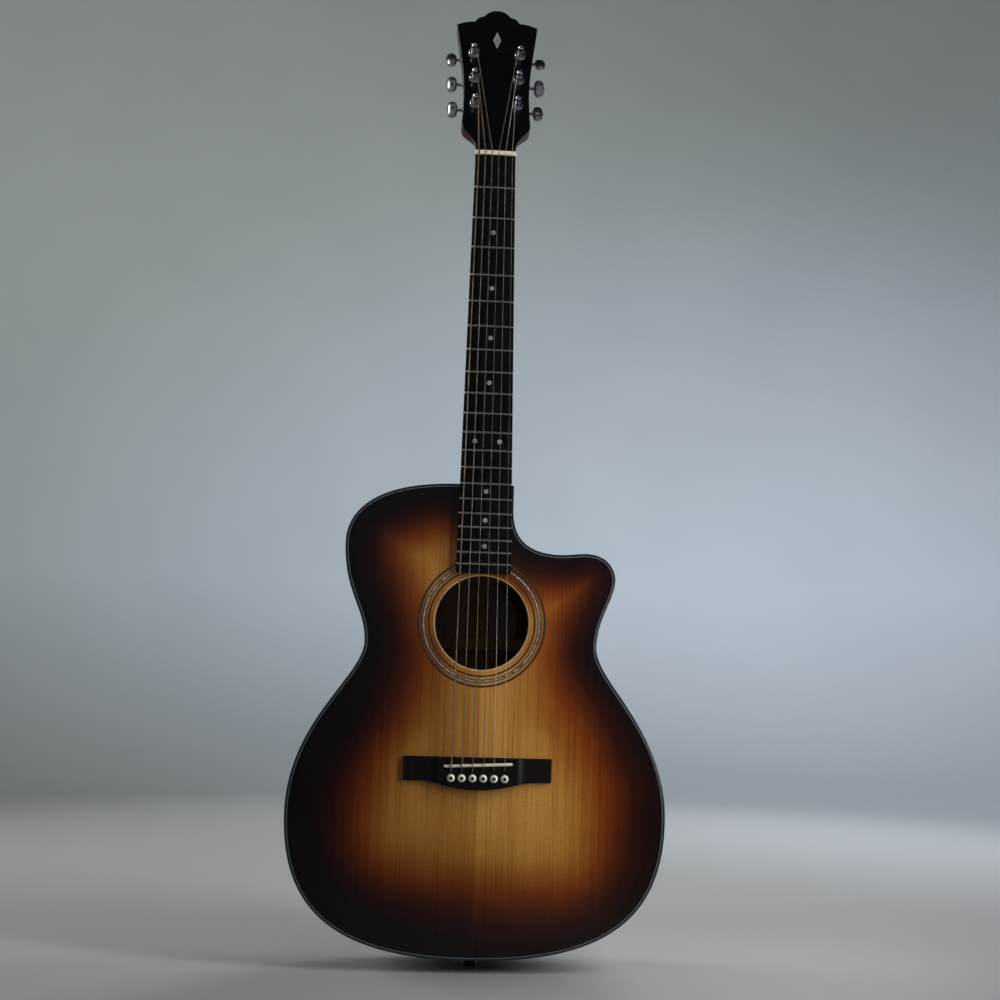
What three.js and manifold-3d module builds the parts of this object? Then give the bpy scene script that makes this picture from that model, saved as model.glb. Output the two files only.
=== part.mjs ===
// Steel-string acoustic guitar with a rounded cutaway, standing upright.
// +Z runs up the neck, the soundboard faces -Y, and the cutaway is on the +X (treble) side.
// The origin is the centre of the end pin's flat outer face. All sizes are in millimetres.
//
// Two measures place most parts: "down" is the distance from the nut towards the tail,
// and "rise" is the height in front of the soundboard's outer face (negative inside the body).

import * as THREE from 'three';
import { mergeVertices } from 'three/addons/utils/BufferGeometryUtils.js';
import Module from 'manifold-3d';

const wasm = await Module();
wasm.setup();

// ---------------------------------------------------------------- driving dimensions

const SCALE_LENGTH = 648;
const FRET_COUNT = 20;
const BODY_FRET = 14;
const TAIL_DOWN = 845.4;
const PIN_REACH = 13;
const GAP = 0.3;

const TOP_Y = -52.5;
const TOP_THICKNESS = 3;
const SIDE_THICKNESS = 2.2;
const DEPTH_AT_TAIL = 102;
const DEPTH_AT_NECK = 85;
const CROWN_ACROSS = 4.5;
const CROWN_ALONG = 3;
const BINDING_WIDTH = 2;
const BINDING_HEIGHT = 6;
const LINING_INSET = 2.6;
const LINING_WIDTH = 5.4;
const LINING_HEIGHT = 14;

const LOWER_BOUT = { half: 195.2, height: 144.2 };
const WAIST = { half: 120.8, height: 318 };
const UPPER_BOUT = { half: 144.4, height: 421.6 };
const HORN = { half: 139.6, height: 388.7 };
const HORN_TOP = { half: 108.1, height: 416.3 };
const CUTAWAY_FLOOR = { half: 82, height: 414.3 };
const NECK_SIDE = { half: 30.1, height: 460.2 };
const SHOULDER_HALF = 27;

const HOLE_DOWN = 504.6;
const HOLE_RADIUS = 48.7;
const ROSETTE_INNER = 54.4;
const ROSETTE_OUTER = 67.8;
const ROSETTE_DEPTH = 1.5;

const BOARD_THICKNESS = 6.5;
const BOARD_DOWN_END = 453.4;
const BOARD_HALF_AT_NUT = 21.6;
const BOARD_HALF_AT_END = 28.7;
const BOARD_RADIUS = 400;
const FRET_HEIGHT = 1.1;
const FRET_WIDTH = 2.2;

const NECK_DEPTH_AT_NUT = 15;
const NECK_DEPTH_AT_BODY = 18;
const HEEL_LENGTH = 90;
const HEEL_BULGE = 150;
const HEEL_SWEEP = 2.2;
const HEEL_CAP_THICKNESS = 3;
const HEEL_NARROWING = 0.35;
const TENON_HALF = 10;
const TENON_LENGTH = 18;
const TENON_DEPTH = 60;

const HEAD_TILT = THREE.MathUtils.degToRad(13);
const HEAD_FACE_RISE = 5;
const HEAD_THICKNESS = 14;
const VENEER_THICKNESS = 2;
const HEAD_START = 7;

const NUT_THICKNESS = 5.5;
const NUT_HALF_WIDTH = 22.1;
const NUT_STRING_HALF = 18.2;
const NUT_STRING_RISE = 8.1;

const BRIDGE_HALF = 76.2;
const BRIDGE_DOWN_TOP = 642.5;
const BRIDGE_HEIGHT = 8.6;
const SADDLE_HALF = 35.4;
const SADDLE_THICKNESS = 3;
const SADDLE_DOWN_BASS = 651.8;
const SADDLE_DOWN_TREBLE = 648.5;
const SADDLE_STRING_HALF = 27.4;
const SADDLE_STRING_RISE = 11.9;
const PIN_DOWN = 663.3;

// Diameters of the strings, from the lowest note (sixth) to the highest (first).
const STRING_DIAMETERS = [1.35, 1.07, 0.81, 0.61, 0.41, 0.3];
const STRING_NUMBERS = [6, 5, 4, 3, 2, 1];

// One tuner for each string: where its post stands on the head, and how its button is turned.
const TUNERS = [
  { side: -1, across: 23.3, along: 66.4, turned: 183 },
  { side: -1, across: 24.6, along: 100.1, turned: 179 },
  { side: -1, across: 25.8, along: 133.1, turned: 168 },
  { side: 1, across: 25.8, along: 133.1, turned: 154 },
  { side: 1, across: 24.6, along: 100.1, turned: 192 },
  { side: 1, across: 23.3, along: 66.4, turned: 171 },
];
const POST_RADIUS = 3;
const POST_TOP = 15;
const GEAR_RADIUS = 3.9;
const WORM_RADIUS = 2.1;
const WORM_OFFSET = 6.3;
const WORM_DEPTH = -23;
const KNOB_SHAFT_RADIUS = 1.5;
const BUTTON_CENTRE = 24.4;
const STRING_ON_POST = 7;

// ---------------------------------------------------------------- derived places

const NUT_Z = PIN_REACH + TAIL_DOWN;
const fretDown = (number) => SCALE_LENGTH * (1 - 2 ** (-number / 12));
const JOINT_Z = NUT_Z - fretDown(BODY_FRET);
const BODY_LENGTH = JOINT_Z - PIN_REACH;
const zAt = (down) => NUT_Z - down;
const yAt = (rise) => TOP_Y - rise;

// The back's outer face: deeper towards the tail, and slightly domed both ways.
function backY(x, z) {
  const part = THREE.MathUtils.clamp((z - PIN_REACH) / BODY_LENGTH, 0, 1);
  const depth = THREE.MathUtils.lerp(DEPTH_AT_TAIL, DEPTH_AT_NECK, part);
  const across = CROWN_ACROSS * (1 - (x / LOWER_BOUT.half) ** 2);
  const along = CROWN_ALONG * 4 * part * (1 - part);
  return TOP_Y + depth + across + along;
}
const insideBack = (inset) => (x, z) => backY(x, z) - inset;

const boardHalf = (down) =>
  THREE.MathUtils.lerp(BOARD_HALF_AT_NUT, BOARD_HALF_AT_END, down / BOARD_DOWN_END);
const camber = (x) => x ** 2 / (2 * BOARD_RADIUS);

// ---------------------------------------------------------------- materials

function finish(color, roughness, metalness = 0) {
  return new THREE.MeshStandardMaterial({ color, roughness, metalness });
}
const SUNBURST_SPRUCE = finish(0xb5702a, 0.25);
const BODY_WOOD = finish(0x4a2413, 0.3);
const NECK_WOOD = finish(0x3b1c10, 0.3);
const DARK_WOOD = finish(0x1d1410, 0.55);
const BLACK_BINDING = finish(0x0b0b0c, 0.3);
const PEARL = finish(0x9fb0b4, 0.3);
const PALE_WOOD = finish(0xd9bd8c, 0.7);
const BONE = finish(0xe8dfc6, 0.4);
const BLACK_GLOSS = finish(0x08080a, 0.15);
const CHROME = finish(0xd5d7da, 0.12, 1);
const STEEL = finish(0x9a9ca0, 0.35, 1);
const BRONZE = finish(0xb9803f, 0.35, 1);
const BRASS = finish(0xb08d4a, 0.35, 1);
const WHITE_PLASTIC = finish(0xf0ece0, 0.35);

// ---------------------------------------------------------------- geometry helpers

function solid(geometry) {
  const bare = geometry.clone();
  bare.deleteAttribute('normal');
  bare.deleteAttribute('uv');
  const merged = mergeVertices(bare, 1e-4);
  const vertProperties = new Float32Array(merged.attributes.position.array);
  const triVerts = new Uint32Array(merged.index.array);
  return new wasm.Manifold(new wasm.Mesh({ numProp: 3, vertProperties, triVerts }));
}

function geometryOf(body) {
  const mesh = body.getMesh();
  const geometry = new THREE.BufferGeometry();
  geometry.setAttribute('position', new THREE.BufferAttribute(mesh.vertProperties, 3));
  geometry.setIndex(new THREE.BufferAttribute(mesh.triVerts, 1));
  geometry.computeVertexNormals();
  return geometry;
}

function block(lowX, highX, lowY, highY, lowZ, highZ) {
  const box = new THREE.BoxGeometry(highX - lowX, highY - lowY, highZ - lowZ);
  box.translate((lowX + highX) / 2, (lowY + highY) / 2, (lowZ + highZ) / 2);
  return box;
}

// A cylinder with its axis along X, Y or Z, from one coordinate on that axis to another.
function rod(axis, radius, start, end, centre, sides = 12) {
  const cylinder = new THREE.CylinderGeometry(radius, radius, end - start, sides);
  if (axis === 'x') cylinder.rotateZ(Math.PI / 2);
  if (axis === 'z') cylinder.rotateX(Math.PI / 2);
  const middle = (start + end) / 2;
  if (axis === 'x') cylinder.translate(middle, centre[0], centre[1]);
  if (axis === 'y') cylinder.translate(centre[0], middle, centre[1]);
  if (axis === 'z') cylinder.translate(centre[0], centre[1], middle);
  return cylinder;
}

// A plate standing in the XZ plane. Its front and back faces lie at the given y, which is
// either a number or a function of x and z.
function plate(shape, frontY, backOfPlateY) {
  const place = (value, x, z) => (typeof value === 'function' ? value(x, z) : value);
  const geometry = new THREE.ExtrudeGeometry(shape, { depth: 1, bevelEnabled: false });
  geometry.rotateX(Math.PI / 2);
  const points = geometry.attributes.position;
  for (let i = 0; i < points.count; i += 1) {
    const isFront = points.getY(i) < -0.5;
    const value = isFront ? frontY : backOfPlateY;
    points.setY(i, place(value, points.getX(i), points.getZ(i)));
  }
  return geometry;
}

// A box cut into a grid, whose front and back faces follow functions of x and z.
function grid(lowX, highX, lowZ, highZ, cellsX, cellsZ, frontAt, backAt) {
  const width = highX - lowX;
  const height = highZ - lowZ;
  const geometry = new THREE.BoxGeometry(width, 1, height, cellsX, 1, cellsZ);
  geometry.translate((lowX + highX) / 2, 0, (lowZ + highZ) / 2);
  const points = geometry.attributes.position;
  for (let i = 0; i < points.count; i += 1) {
    const place = points.getY(i) < 0 ? frontAt : backAt;
    points.setY(i, place(points.getX(i), points.getZ(i)));
  }
  return geometry;
}

// Joins a row of rings into one closed body. The rings run counterclockwise about the
// direction from the first to the last.
function loft(rings) {
  const size = rings[0].length;
  const positions = rings.flat().flatMap((point) => [point.x, point.y, point.z]);
  const faces = [];
  for (let r = 0; r < rings.length - 1; r += 1) {
    for (let i = 0; i < size; i += 1) {
      const next = (i + 1) % size;
      const low = r * size;
      const high = low + size;
      faces.push(low + i, low + next, high + next, low + i, high + next, high + i);
    }
  }
  const last = (rings.length - 1) * size;
  for (let i = 1; i < size - 1; i += 1) {
    faces.push(0, i + 1, i);
    faces.push(last, last + i, last + i + 1);
  }
  const geometry = new THREE.BufferGeometry();
  geometry.setAttribute('position', new THREE.Float32BufferAttribute(positions, 3));
  geometry.setIndex(faces);
  geometry.computeVertexNormals();
  return geometry;
}

// A round wire along straight runs, with mitred corners.
function wire(points, radius, sides = 6) {
  const directions = points.slice(1).map((point, i) => point.clone().sub(points[i]).normalize());
  const first = directions[0];
  const across = new THREE.Vector3(1, 0, 0).cross(first).normalize();
  const along = first.clone().cross(across);
  let ring = Array.from({ length: sides }, (_, i) => {
    const angle = (2 * Math.PI * i) / sides;
    const offset = across.clone().multiplyScalar(radius * Math.cos(angle));
    return offset.addScaledVector(along, radius * Math.sin(angle)).add(points[0]);
  });
  const rings = [ring];
  for (let i = 1; i < points.length; i += 1) {
    const direction = directions[i - 1];
    const normal = direction.clone().add(directions[i] ?? direction).normalize();
    ring = ring.map((point) => {
      const gap = points[i].clone().sub(point).dot(normal) / direction.dot(normal);
      return point.clone().addScaledVector(direction, gap);
    });
    rings.push(ring);
  }
  return loft(rings);
}

// Turns a profile of [radius, height] pairs about the Y axis. It starts and ends on the axis.
function revolve(profile, sides = 16) {
  return new THREE.LatheGeometry(profile.map(([r, y]) => new THREE.Vector2(r, y)), sides);
}

function shapeOf(points, hole = null) {
  const shape = new THREE.Shape(points);
  if (hole) shape.holes.push(new THREE.Path(hole));
  return shape;
}

const guitar = new THREE.Group();

function add(name, geometry, material, parent = guitar) {
  const mesh = new THREE.Mesh(geometry, material);
  mesh.name = name;
  parent.add(mesh);
  return mesh;
}

// ---------------------------------------------------------------- the body's outline

// One smooth stretch of the outline. Each handle is how far the curve keeps the direction
// that it has at that end.
function stretch(from, fromHandle, to, toHandle, pieces) {
  const start = new THREE.Vector2(from.half, from.height + PIN_REACH);
  const end = new THREE.Vector2(to.half, to.height + PIN_REACH);
  const leave = start.clone().add(new THREE.Vector2(...fromHandle));
  const arrive = end.clone().add(new THREE.Vector2(...toHandle));
  return new THREE.CubicBezierCurve(start, leave, arrive, end).getPoints(pieces).slice(0, -1);
}

// Half of the lower body, from the middle of the tail up to the waist.
function lowerHalf() {
  const tail = { half: 0, height: 0 };
  return [
    ...stretch(tail, [139.5, 0], LOWER_BOUT, [0, -97.2], 10),
    ...stretch(LOWER_BOUT, [0, 91.7], WAIST, [0, -35.9], 8),
  ];
}

function bodyOutline() {
  const corner = { half: NECK_SIDE.half, height: BODY_LENGTH };
  const shoulder = { half: SHOULDER_HALF, height: BODY_LENGTH };
  const treble = [
    ...lowerHalf(),
    ...stretch(WAIST, [0, 29.6], HORN, [0, -18.2], 5),
    ...stretch(HORN, [0, 11.2], HORN_TOP, [23.9, 0], 6),
    ...stretch(HORN_TOP, [-9, 0], CUTAWAY_FLOOR, [9, 0], 2),
    ...stretch(CUTAWAY_FLOOR, [-37, 0], NECK_SIDE, [0, -29.3], 7),
    new THREE.Vector2(corner.half, NECK_SIDE.height + PIN_REACH),
    new THREE.Vector2(corner.half, corner.height + PIN_REACH),
  ];
  const bass = [
    ...lowerHalf(),
    ...stretch(WAIST, [0, 35.2], UPPER_BOUT, [0, -54.3], 5),
    ...stretch(UPPER_BOUT, [0, 20.3], shoulder, [105, 0], 9),
    new THREE.Vector2(shoulder.half, shoulder.height + PIN_REACH),
  ];
  const mirrored = bass.slice(1).map((point) => new THREE.Vector2(-point.x, point.y));
  return [...treble, ...mirrored.reverse()];
}

// Moves every side of the outline inwards by the same distance.
function inset(points, distance) {
  const count = points.length;
  const inward = (a, b) => new THREE.Vector2(a.y - b.y, b.x - a.x).normalize();
  return points.map((point, i) => {
    const before = inward(points[(i + count - 1) % count], point);
    const after = inward(point, points[(i + 1) % count]);
    const scale = distance / (1 + before.dot(after));
    return point.clone().addScaledVector(before.add(after), scale);
  });
}

const OUTLINE = bodyOutline();
const outlineRing = (outer, inner) => shapeOf(inset(OUTLINE, outer), inset(OUTLINE, inner));

// ---------------------------------------------------------------- shared cutters

function circle(radius, down, sides = 32) {
  return Array.from({ length: sides }, (_, i) => {
    const angle = (2 * Math.PI * i) / sides;
    return new THREE.Vector2(radius * Math.cos(angle), zAt(down) + radius * Math.sin(angle));
  });
}

const stringPart = (index) => (2 * index) / (STRING_DIAMETERS.length - 1) - 1;
const nutX = (index) => NUT_STRING_HALF * stringPart(index);
const saddleX = (index) => SADDLE_STRING_HALF * stringPart(index);
const saddleDown = (x) =>
  THREE.MathUtils.mapLinear(x, -SADDLE_HALF, SADDLE_HALF, SADDLE_DOWN_BASS, SADDLE_DOWN_TREBLE);

const SADDLE_TURN = -Math.atan2(SADDLE_DOWN_BASS - SADDLE_DOWN_TREBLE, 2 * SADDLE_HALF);
const SADDLE_Z = zAt(saddleDown(0));

const PIN_HOLE_RADIUS = 2.9;
const WIRE_DOWN = 659.6;
const WIRE_SLOT_HALF = 1.1;
const UNDER_PLATE = -12;

// The hole of one bridge pin, with the slot that its string lies in and the ramp that lets
// the string lean forward to the saddle.
function pinHole(index) {
  const x = saddleX(index);
  const hole = rod('y', PIN_HOLE_RADIUS, yAt(14), yAt(UNDER_PLATE), [x, zAt(PIN_DOWN)], 8);
  const slotTop = zAt(WIRE_DOWN - 1);
  const slot = block(
    x - WIRE_SLOT_HALF, x + WIRE_SLOT_HALF, yAt(14), yAt(UNDER_PLATE), zAt(PIN_DOWN), slotTop,
  );
  const ramp = new THREE.Shape([
    new THREE.Vector2(zAt(WIRE_DOWN - 0.6), yAt(4.9)),
    new THREE.Vector2(zAt(WIRE_DOWN - 0.6), yAt(9)),
    new THREE.Vector2(zAt(654.2), yAt(9)),
    new THREE.Vector2(zAt(654.2), yAt(8.5)),
  ]);
  const wedge = new THREE.ExtrudeGeometry(ramp, { depth: 2 * WIRE_SLOT_HALF, bevelEnabled: false });
  // The shape's axes are z and y, so the wedge is turned until its thickness lies along x.
  const turn = new THREE.Matrix4().makeBasis(
    new THREE.Vector3(0, 0, 1),
    new THREE.Vector3(0, 1, 0),
    new THREE.Vector3(-1, 0, 0),
  );
  wedge.applyMatrix4(turn);
  wedge.translate(x + WIRE_SLOT_HALF, 0, 0);
  return solid(hole).add(solid(slot)).add(solid(wedge));
}
const PIN_HOLES = STRING_DIAMETERS.map((_, index) => pinHole(index)).reduce((a, b) => a.add(b));

const TREBLE_HALF = solid(block(0.15, 300, -200, 200, -50, 700));
const BASS_HALF = solid(block(-300, -0.15, -200, 200, -50, 700));
const TENON_ROOM = solid(block(
  -TENON_HALF - GAP, TENON_HALF + GAP,
  yAt(1), yAt(-TENON_DEPTH - GAP),
  JOINT_Z - TENON_LENGTH - GAP, JOINT_Z + 5,
));
const END_PIN_HOLE = solid(rod('z', 3.9, -5, 60, [0, 0]));

// ---------------------------------------------------------------- soundboard and back

function makeSoundboard() {
  const shape = shapeOf(inset(OUTLINE, BINDING_WIDTH + GAP), circle(HOLE_RADIUS, HOLE_DOWN));
  const board = solid(plate(shape, yAt(0), yAt(-TOP_THICKNESS)));
  const groove = shapeOf(
    circle(ROSETTE_OUTER + GAP, HOLE_DOWN),
    circle(ROSETTE_INNER - GAP, HOLE_DOWN),
  );
  const cut = solid(plate(groove, yAt(1), yAt(-ROSETTE_DEPTH)));
  add('soundboard', geometryOf(board.subtract(cut).subtract(PIN_HOLES)), SUNBURST_SPRUCE);

  const ring = shapeOf(circle(ROSETTE_OUTER, HOLE_DOWN), circle(ROSETTE_INNER, HOLE_DOWN));
  add('rosette', plate(ring, yAt(0), yAt(-ROSETTE_DEPTH + GAP)), PEARL);
}

function makeBack() {
  const sheet = grid(
    -200, 200, 0, JOINT_Z + 5, 8, 8, insideBack(TOP_THICKNESS), insideBack(0),
  );
  const prism = plate(shapeOf(inset(OUTLINE, BINDING_WIDTH + GAP)), -100, 100);
  add('back_plate', geometryOf(solid(sheet).intersect(solid(prism))), BODY_WOOD);
}

function makeBindings() {
  const ring = outlineRing(0, BINDING_WIDTH);
  const top = solid(plate(ring, yAt(0), yAt(-BINDING_HEIGHT))).subtract(TENON_ROOM);
  add('top_binding', geometryOf(top), BLACK_BINDING);
  add('back_binding', plate(ring, insideBack(BINDING_HEIGHT), insideBack(0)), BLACK_BINDING);
}

// ---------------------------------------------------------------- sides, linings and blocks

const NECK_BLOCK = { low: -30, high: 27, bottom: JOINT_Z - 55 };
const TAIL_BLOCK = { half: 32, top: PIN_REACH + 24 };
const ROD_RISE = -8;

function makeSides() {
  const wall = outlineRing(0, SIDE_THICKNESS);
  const ring = solid(plate(wall, yAt(-BINDING_HEIGHT), insideBack(BINDING_HEIGHT + GAP)));
  const cut = ring.subtract(END_PIN_HOLE).subtract(TENON_ROOM);
  add('bass_side', geometryOf(cut.intersect(BASS_HALF)), BODY_WOOD);
  add('treble_side', geometryOf(cut.intersect(TREBLE_HALF)), BODY_WOOD);
}

function makeLinings() {
  const room = (low, high, bottom, top) =>
    solid(block(low - GAP, high + GAP, -100, 100, bottom - GAP, top + GAP));
  const blocks = room(NECK_BLOCK.low, NECK_BLOCK.high, NECK_BLOCK.bottom, JOINT_Z).add(
    room(-TAIL_BLOCK.half, TAIL_BLOCK.half, 0, TAIL_BLOCK.top),
  );
  const shape = outlineRing(LINING_INSET, LINING_INSET + LINING_WIDTH);
  const top = plate(shape, yAt(-TOP_THICKNESS), yAt(-TOP_THICKNESS - LINING_HEIGHT));
  const backInset = TOP_THICKNESS + GAP;
  const back = plate(shape, insideBack(backInset + LINING_HEIGHT), insideBack(backInset));
  for (const [place, geometry] of [['top', top], ['back', back]]) {
    const ring = solid(geometry).subtract(blocks);
    add(`bass_${place}_lining`, geometryOf(ring.intersect(BASS_HALF)), PALE_WOOD);
    add(`treble_${place}_lining`, geometryOf(ring.intersect(TREBLE_HALF)), PALE_WOOD);
  }
}

function makeBlocks() {
  const front = () => yAt(-TOP_THICKNESS);
  const behind = insideBack(TOP_THICKNESS + GAP);
  const inside = solid(plate(shapeOf(inset(OUTLINE, SIDE_THICKNESS + GAP)), -100, 100));

  const neckBox = grid(
    NECK_BLOCK.low, NECK_BLOCK.high, NECK_BLOCK.bottom, JOINT_Z, 2, 2, front, behind,
  );
  const rodHole = solid(rod('z', 4, NECK_BLOCK.bottom - 5, JOINT_Z, [0, yAt(ROD_RISE)]));
  const neckBlock = solid(neckBox).intersect(inside).subtract(TENON_ROOM).subtract(rodHole);
  add('neck_block', geometryOf(neckBlock), BODY_WOOD);

  const tailBox = grid(-TAIL_BLOCK.half, TAIL_BLOCK.half, 0, TAIL_BLOCK.top, 2, 1, front, behind);
  const tailBlock = solid(tailBox).intersect(inside).subtract(END_PIN_HOLE);
  add('tail_block', geometryOf(tailBlock), BODY_WOOD);
}

// ---------------------------------------------------------------- braces

// A glued bar under the soundboard, thinned towards both ends.
function bar(fromX, fromDown, toX, toDown, width, height, taper) {
  const start = new THREE.Vector3(fromX, yAt(-TOP_THICKNESS), zAt(fromDown));
  const end = new THREE.Vector3(toX, yAt(-TOP_THICKNESS), zAt(toDown));
  const length = start.distanceTo(end);
  const tip = 3;
  const shape = new THREE.Shape([
    new THREE.Vector2(0, 0),
    new THREE.Vector2(length, 0),
    new THREE.Vector2(length, tip),
    new THREE.Vector2(length - taper, height),
    new THREE.Vector2(taper, height),
    new THREE.Vector2(0, tip),
  ]);
  const geometry = new THREE.ExtrudeGeometry(shape, { depth: width, bevelEnabled: false });
  geometry.translate(0, 0, -width / 2);
  const along = end.clone().sub(start).normalize();
  const inwards = new THREE.Vector3(0, 1, 0);
  geometry.applyMatrix4(
    new THREE.Matrix4().makeBasis(along, inwards, along.clone().cross(inwards)).setPosition(start),
  );
  return geometry;
}

function makeTopBraces() {
  const cross = { down: 590, height: 14, width: 8 };
  const bassLeg = bar(-112, 485, 152, 732.5, cross.width, cross.height, 45);
  const trebleLeg = bar(112, 485, -152, 732.5, cross.width, cross.height, 45);
  const halfRoom = cross.width / 2 + GAP;
  const along = Math.atan2(152 + 112, 732.5 - 485);
  // Each bar gives up half its height where the two cross.
  const notch = (turn, from, to) => {
    const box = block(-30, 30, from, to, -halfRoom, halfRoom);
    box.rotateY(turn);
    box.translate(0, yAt(-TOP_THICKNESS), zAt(cross.down));
    return solid(box);
  };
  const middle = cross.height / 2;
  const bass = solid(bassLeg).subtract(notch(along - Math.PI / 2, middle - GAP, 30));
  const treble = solid(trebleLeg).subtract(notch(Math.PI / 2 - along, -5, middle));
  add('x_brace_bass', geometryOf(bass), PALE_WOOD);
  add('x_brace_treble', geometryOf(treble), PALE_WOOD);

  const transverse = solid(bar(-118, 446, 118, 446, 10, 16, 30));
  const access = solid(block(-6, 6, TOP_Y, yAt(-15), zAt(460), zAt(430)));
  add('transverse_brace', geometryOf(transverse.subtract(access)), PALE_WOOD);
  add('tone_bar_upper', bar(-62, 750, 90, 704, 7, 11, 35), PALE_WOOD);
  add('tone_bar_lower', bar(-58, 794, 98, 748, 7, 10, 35), PALE_WOOD);

  const plateFront = yAt(-TOP_THICKNESS);
  const plateBox = block(-46, 46, plateFront, plateFront + 2.5, zAt(676), zAt(642));
  add('bridge_plate', geometryOf(solid(plateBox).subtract(PIN_HOLES)), PALE_WOOD);
}

function makeBackBracing() {
  const seat = TOP_THICKNESS + GAP;
  const strip = grid(
    -8, 8, TAIL_BLOCK.top + 2, NECK_BLOCK.bottom - 2, 1, 10, insideBack(seat + 3), insideBack(seat),
  );
  const ladders = [
    { down: 452, half: 108, width: 12 },
    { down: 525, half: 98, width: 12 },
    { down: 640, half: 165, width: 9 },
    { down: 745, half: 165, width: 9 },
  ];
  const parts = ladders.map(({ down, half, width }) => {
    const rung = grid(
      -half, half, zAt(down) - width / 2, zAt(down) + width / 2, 8, 1,
      insideBack(seat + 13), insideBack(seat),
    );
    return solid(rung);
  });
  add('back_bracing', geometryOf(parts.reduce((a, b) => a.add(b), solid(strip))), PALE_WOOD);
}

// ---------------------------------------------------------------- neck and head

// The head's own frame: x across, y up its face, z out of its face.
const head = new THREE.Group();
head.position.set(0, yAt(HEAD_FACE_RISE), NUT_Z);
head.rotation.x = Math.PI / 2 - HEAD_TILT;
guitar.add(head);
head.updateMatrix();

const headPoint = (x, along, out) => new THREE.Vector3(x, along, out).applyMatrix4(head.matrix);

// The head's outline: a narrow throat, straight flanks that open upwards, and a stepped crown.
function headShape(start) {
  const half = new THREE.Shape();
  half.moveTo(22.1, start);
  half.lineTo(22.2, 12);
  half.bezierCurveTo(23.4, 19, 28, 24, 35.5, 32.6);
  half.quadraticCurveTo(37.9, 35.5, 37.7, 42);
  half.bezierCurveTo(36.2, 58, 35.8, 78, 36.6, 92);
  half.bezierCurveTo(37.5, 114, 42, 142, 45.4, 171);
  half.quadraticCurveTo(35.5, 176.3, 25, 176.6);
  half.quadraticCurveTo(22.5, 183, 14.8, 184.3);
  half.quadraticCurveTo(9.5, 192.6, 0, 192.6);
  const right = half.getPoints(4);
  const left = right.slice(0, -1).map((point) => new THREE.Vector2(-point.x, point.y));
  return new THREE.Shape([...right, ...left.reverse()]);
}

const BUSHING_ROOM = 5;
const POST_HOLES = TUNERS.map(({ side, across, along }) =>
  solid(rod('z', BUSHING_ROOM, -40, 10, [side * across, along], 8)),
).reduce((a, b) => a.add(b));

function headPlate(start, front, back) {
  const geometry = new THREE.ExtrudeGeometry(headShape(start), {
    depth: front - back,
    bevelEnabled: false,
  });
  geometry.translate(0, 0, back);
  return solid(geometry).subtract(POST_HOLES);
}

const HEEL_CAP_Y = backY(0, JOINT_Z);
const HEEL_END_Y = HEEL_CAP_Y - HEEL_CAP_THICKNESS - GAP;
const HEEL_HEIGHT = HEEL_END_Y - TOP_Y;

// How deep the neck is behind the fingerboard: a slim shaft that sweeps back into the heel.
function neckDepth(z) {
  const down = NUT_Z - z;
  const shaft = THREE.MathUtils.lerp(NECK_DEPTH_AT_NUT, NECK_DEPTH_AT_BODY, down / 360);
  if (down < 0) return NECK_DEPTH_AT_NUT + 0.35 * down;
  const part = THREE.MathUtils.clamp(1 - (z - JOINT_Z) / HEEL_LENGTH, 0, 1);
  return shaft + (HEEL_BULGE - shaft) * part ** HEEL_SWEEP;
}

const neckHalf = (z) => Math.max(boardHalf(NUT_Z - z), BOARD_HALF_AT_NUT);
const heelWaist = (depth) => 1 - HEEL_NARROWING * (depth / HEEL_HEIGHT);

function neckSection(z) {
  const steps = 8;
  return Array.from({ length: steps + 1 }, (_, i) => {
    const angle = (Math.PI * i) / steps;
    const depth = Math.min(neckDepth(z) * Math.sin(angle), HEEL_HEIGHT);
    return new THREE.Vector3(neckHalf(z) * Math.cos(angle) * heelWaist(depth), TOP_Y + depth, z);
  });
}

function makeNeck() {
  const heights = [0, 5, 10, 15, 20, 25, 30, 36, 42, 50, 58, 68, 80, 92, 130, 190, 250, 310];
  const stations = heights.map((height) => JOINT_Z + GAP + height);
  stations.push(NUT_Z - 10, NUT_Z, NUT_Z + 4, NUT_Z + 9);
  const shaft = solid(loft(stations.map(neckSection)));
  const veneerBack = -VENEER_THICKNESS - GAP;
  const slab = headPlate(HEAD_START, veneerBack, veneerBack - HEAD_THICKNESS).transform(
    head.matrix.elements,
  );
  const tenon = solid(block(
    -TENON_HALF, TENON_HALF,
    yAt(-TOP_THICKNESS - GAP), yAt(-TENON_DEPTH),
    JOINT_Z - TENON_LENGTH, JOINT_Z + 2,
  ));
  const channel = solid(block(
    -3.3, 3.3, yAt(5), yAt(ROD_RISE - 3.3), JOINT_Z - TENON_LENGTH - 5, NUT_Z - 10,
  ));
  const neck = shaft.add(slab).add(tenon).subtract(channel);
  add('neck', geometryOf(neck), NECK_WOOD);

  const veneer = headPlate(HEAD_START - 0.5, 0, -VENEER_THICKNESS);
  add('headstock_veneer', geometryOf(veneer), BLACK_GLOSS, head);
}

// The cap ends a little before the heel's flat foot runs out to nothing.
const HEEL_FOOT = (HEEL_HEIGHT - NECK_DEPTH_AT_BODY) / (HEEL_BULGE - NECK_DEPTH_AT_BODY);
const HEEL_CAP_REACH = HEEL_LENGTH * (1 - HEEL_FOOT ** (1 / HEEL_SWEEP)) - 1;

function makeHeelCap() {
  const steps = 10;
  const edge = Array.from({ length: steps + 1 }, (_, i) => {
    const z = JOINT_Z + GAP + (HEEL_CAP_REACH * i) / steps;
    const cosine = Math.sqrt(1 - (HEEL_HEIGHT / neckDepth(z)) ** 2);
    return new THREE.Vector2(neckHalf(z) * cosine * heelWaist(HEEL_HEIGHT), z);
  });
  const mirrored = edge.map((point) => new THREE.Vector2(-point.x, point.y)).reverse();
  const cap = plate(shapeOf([...edge, ...mirrored]), HEEL_CAP_Y - HEEL_CAP_THICKNESS, HEEL_CAP_Y);
  add('heel_cap', cap, BLACK_BINDING);
}

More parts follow.
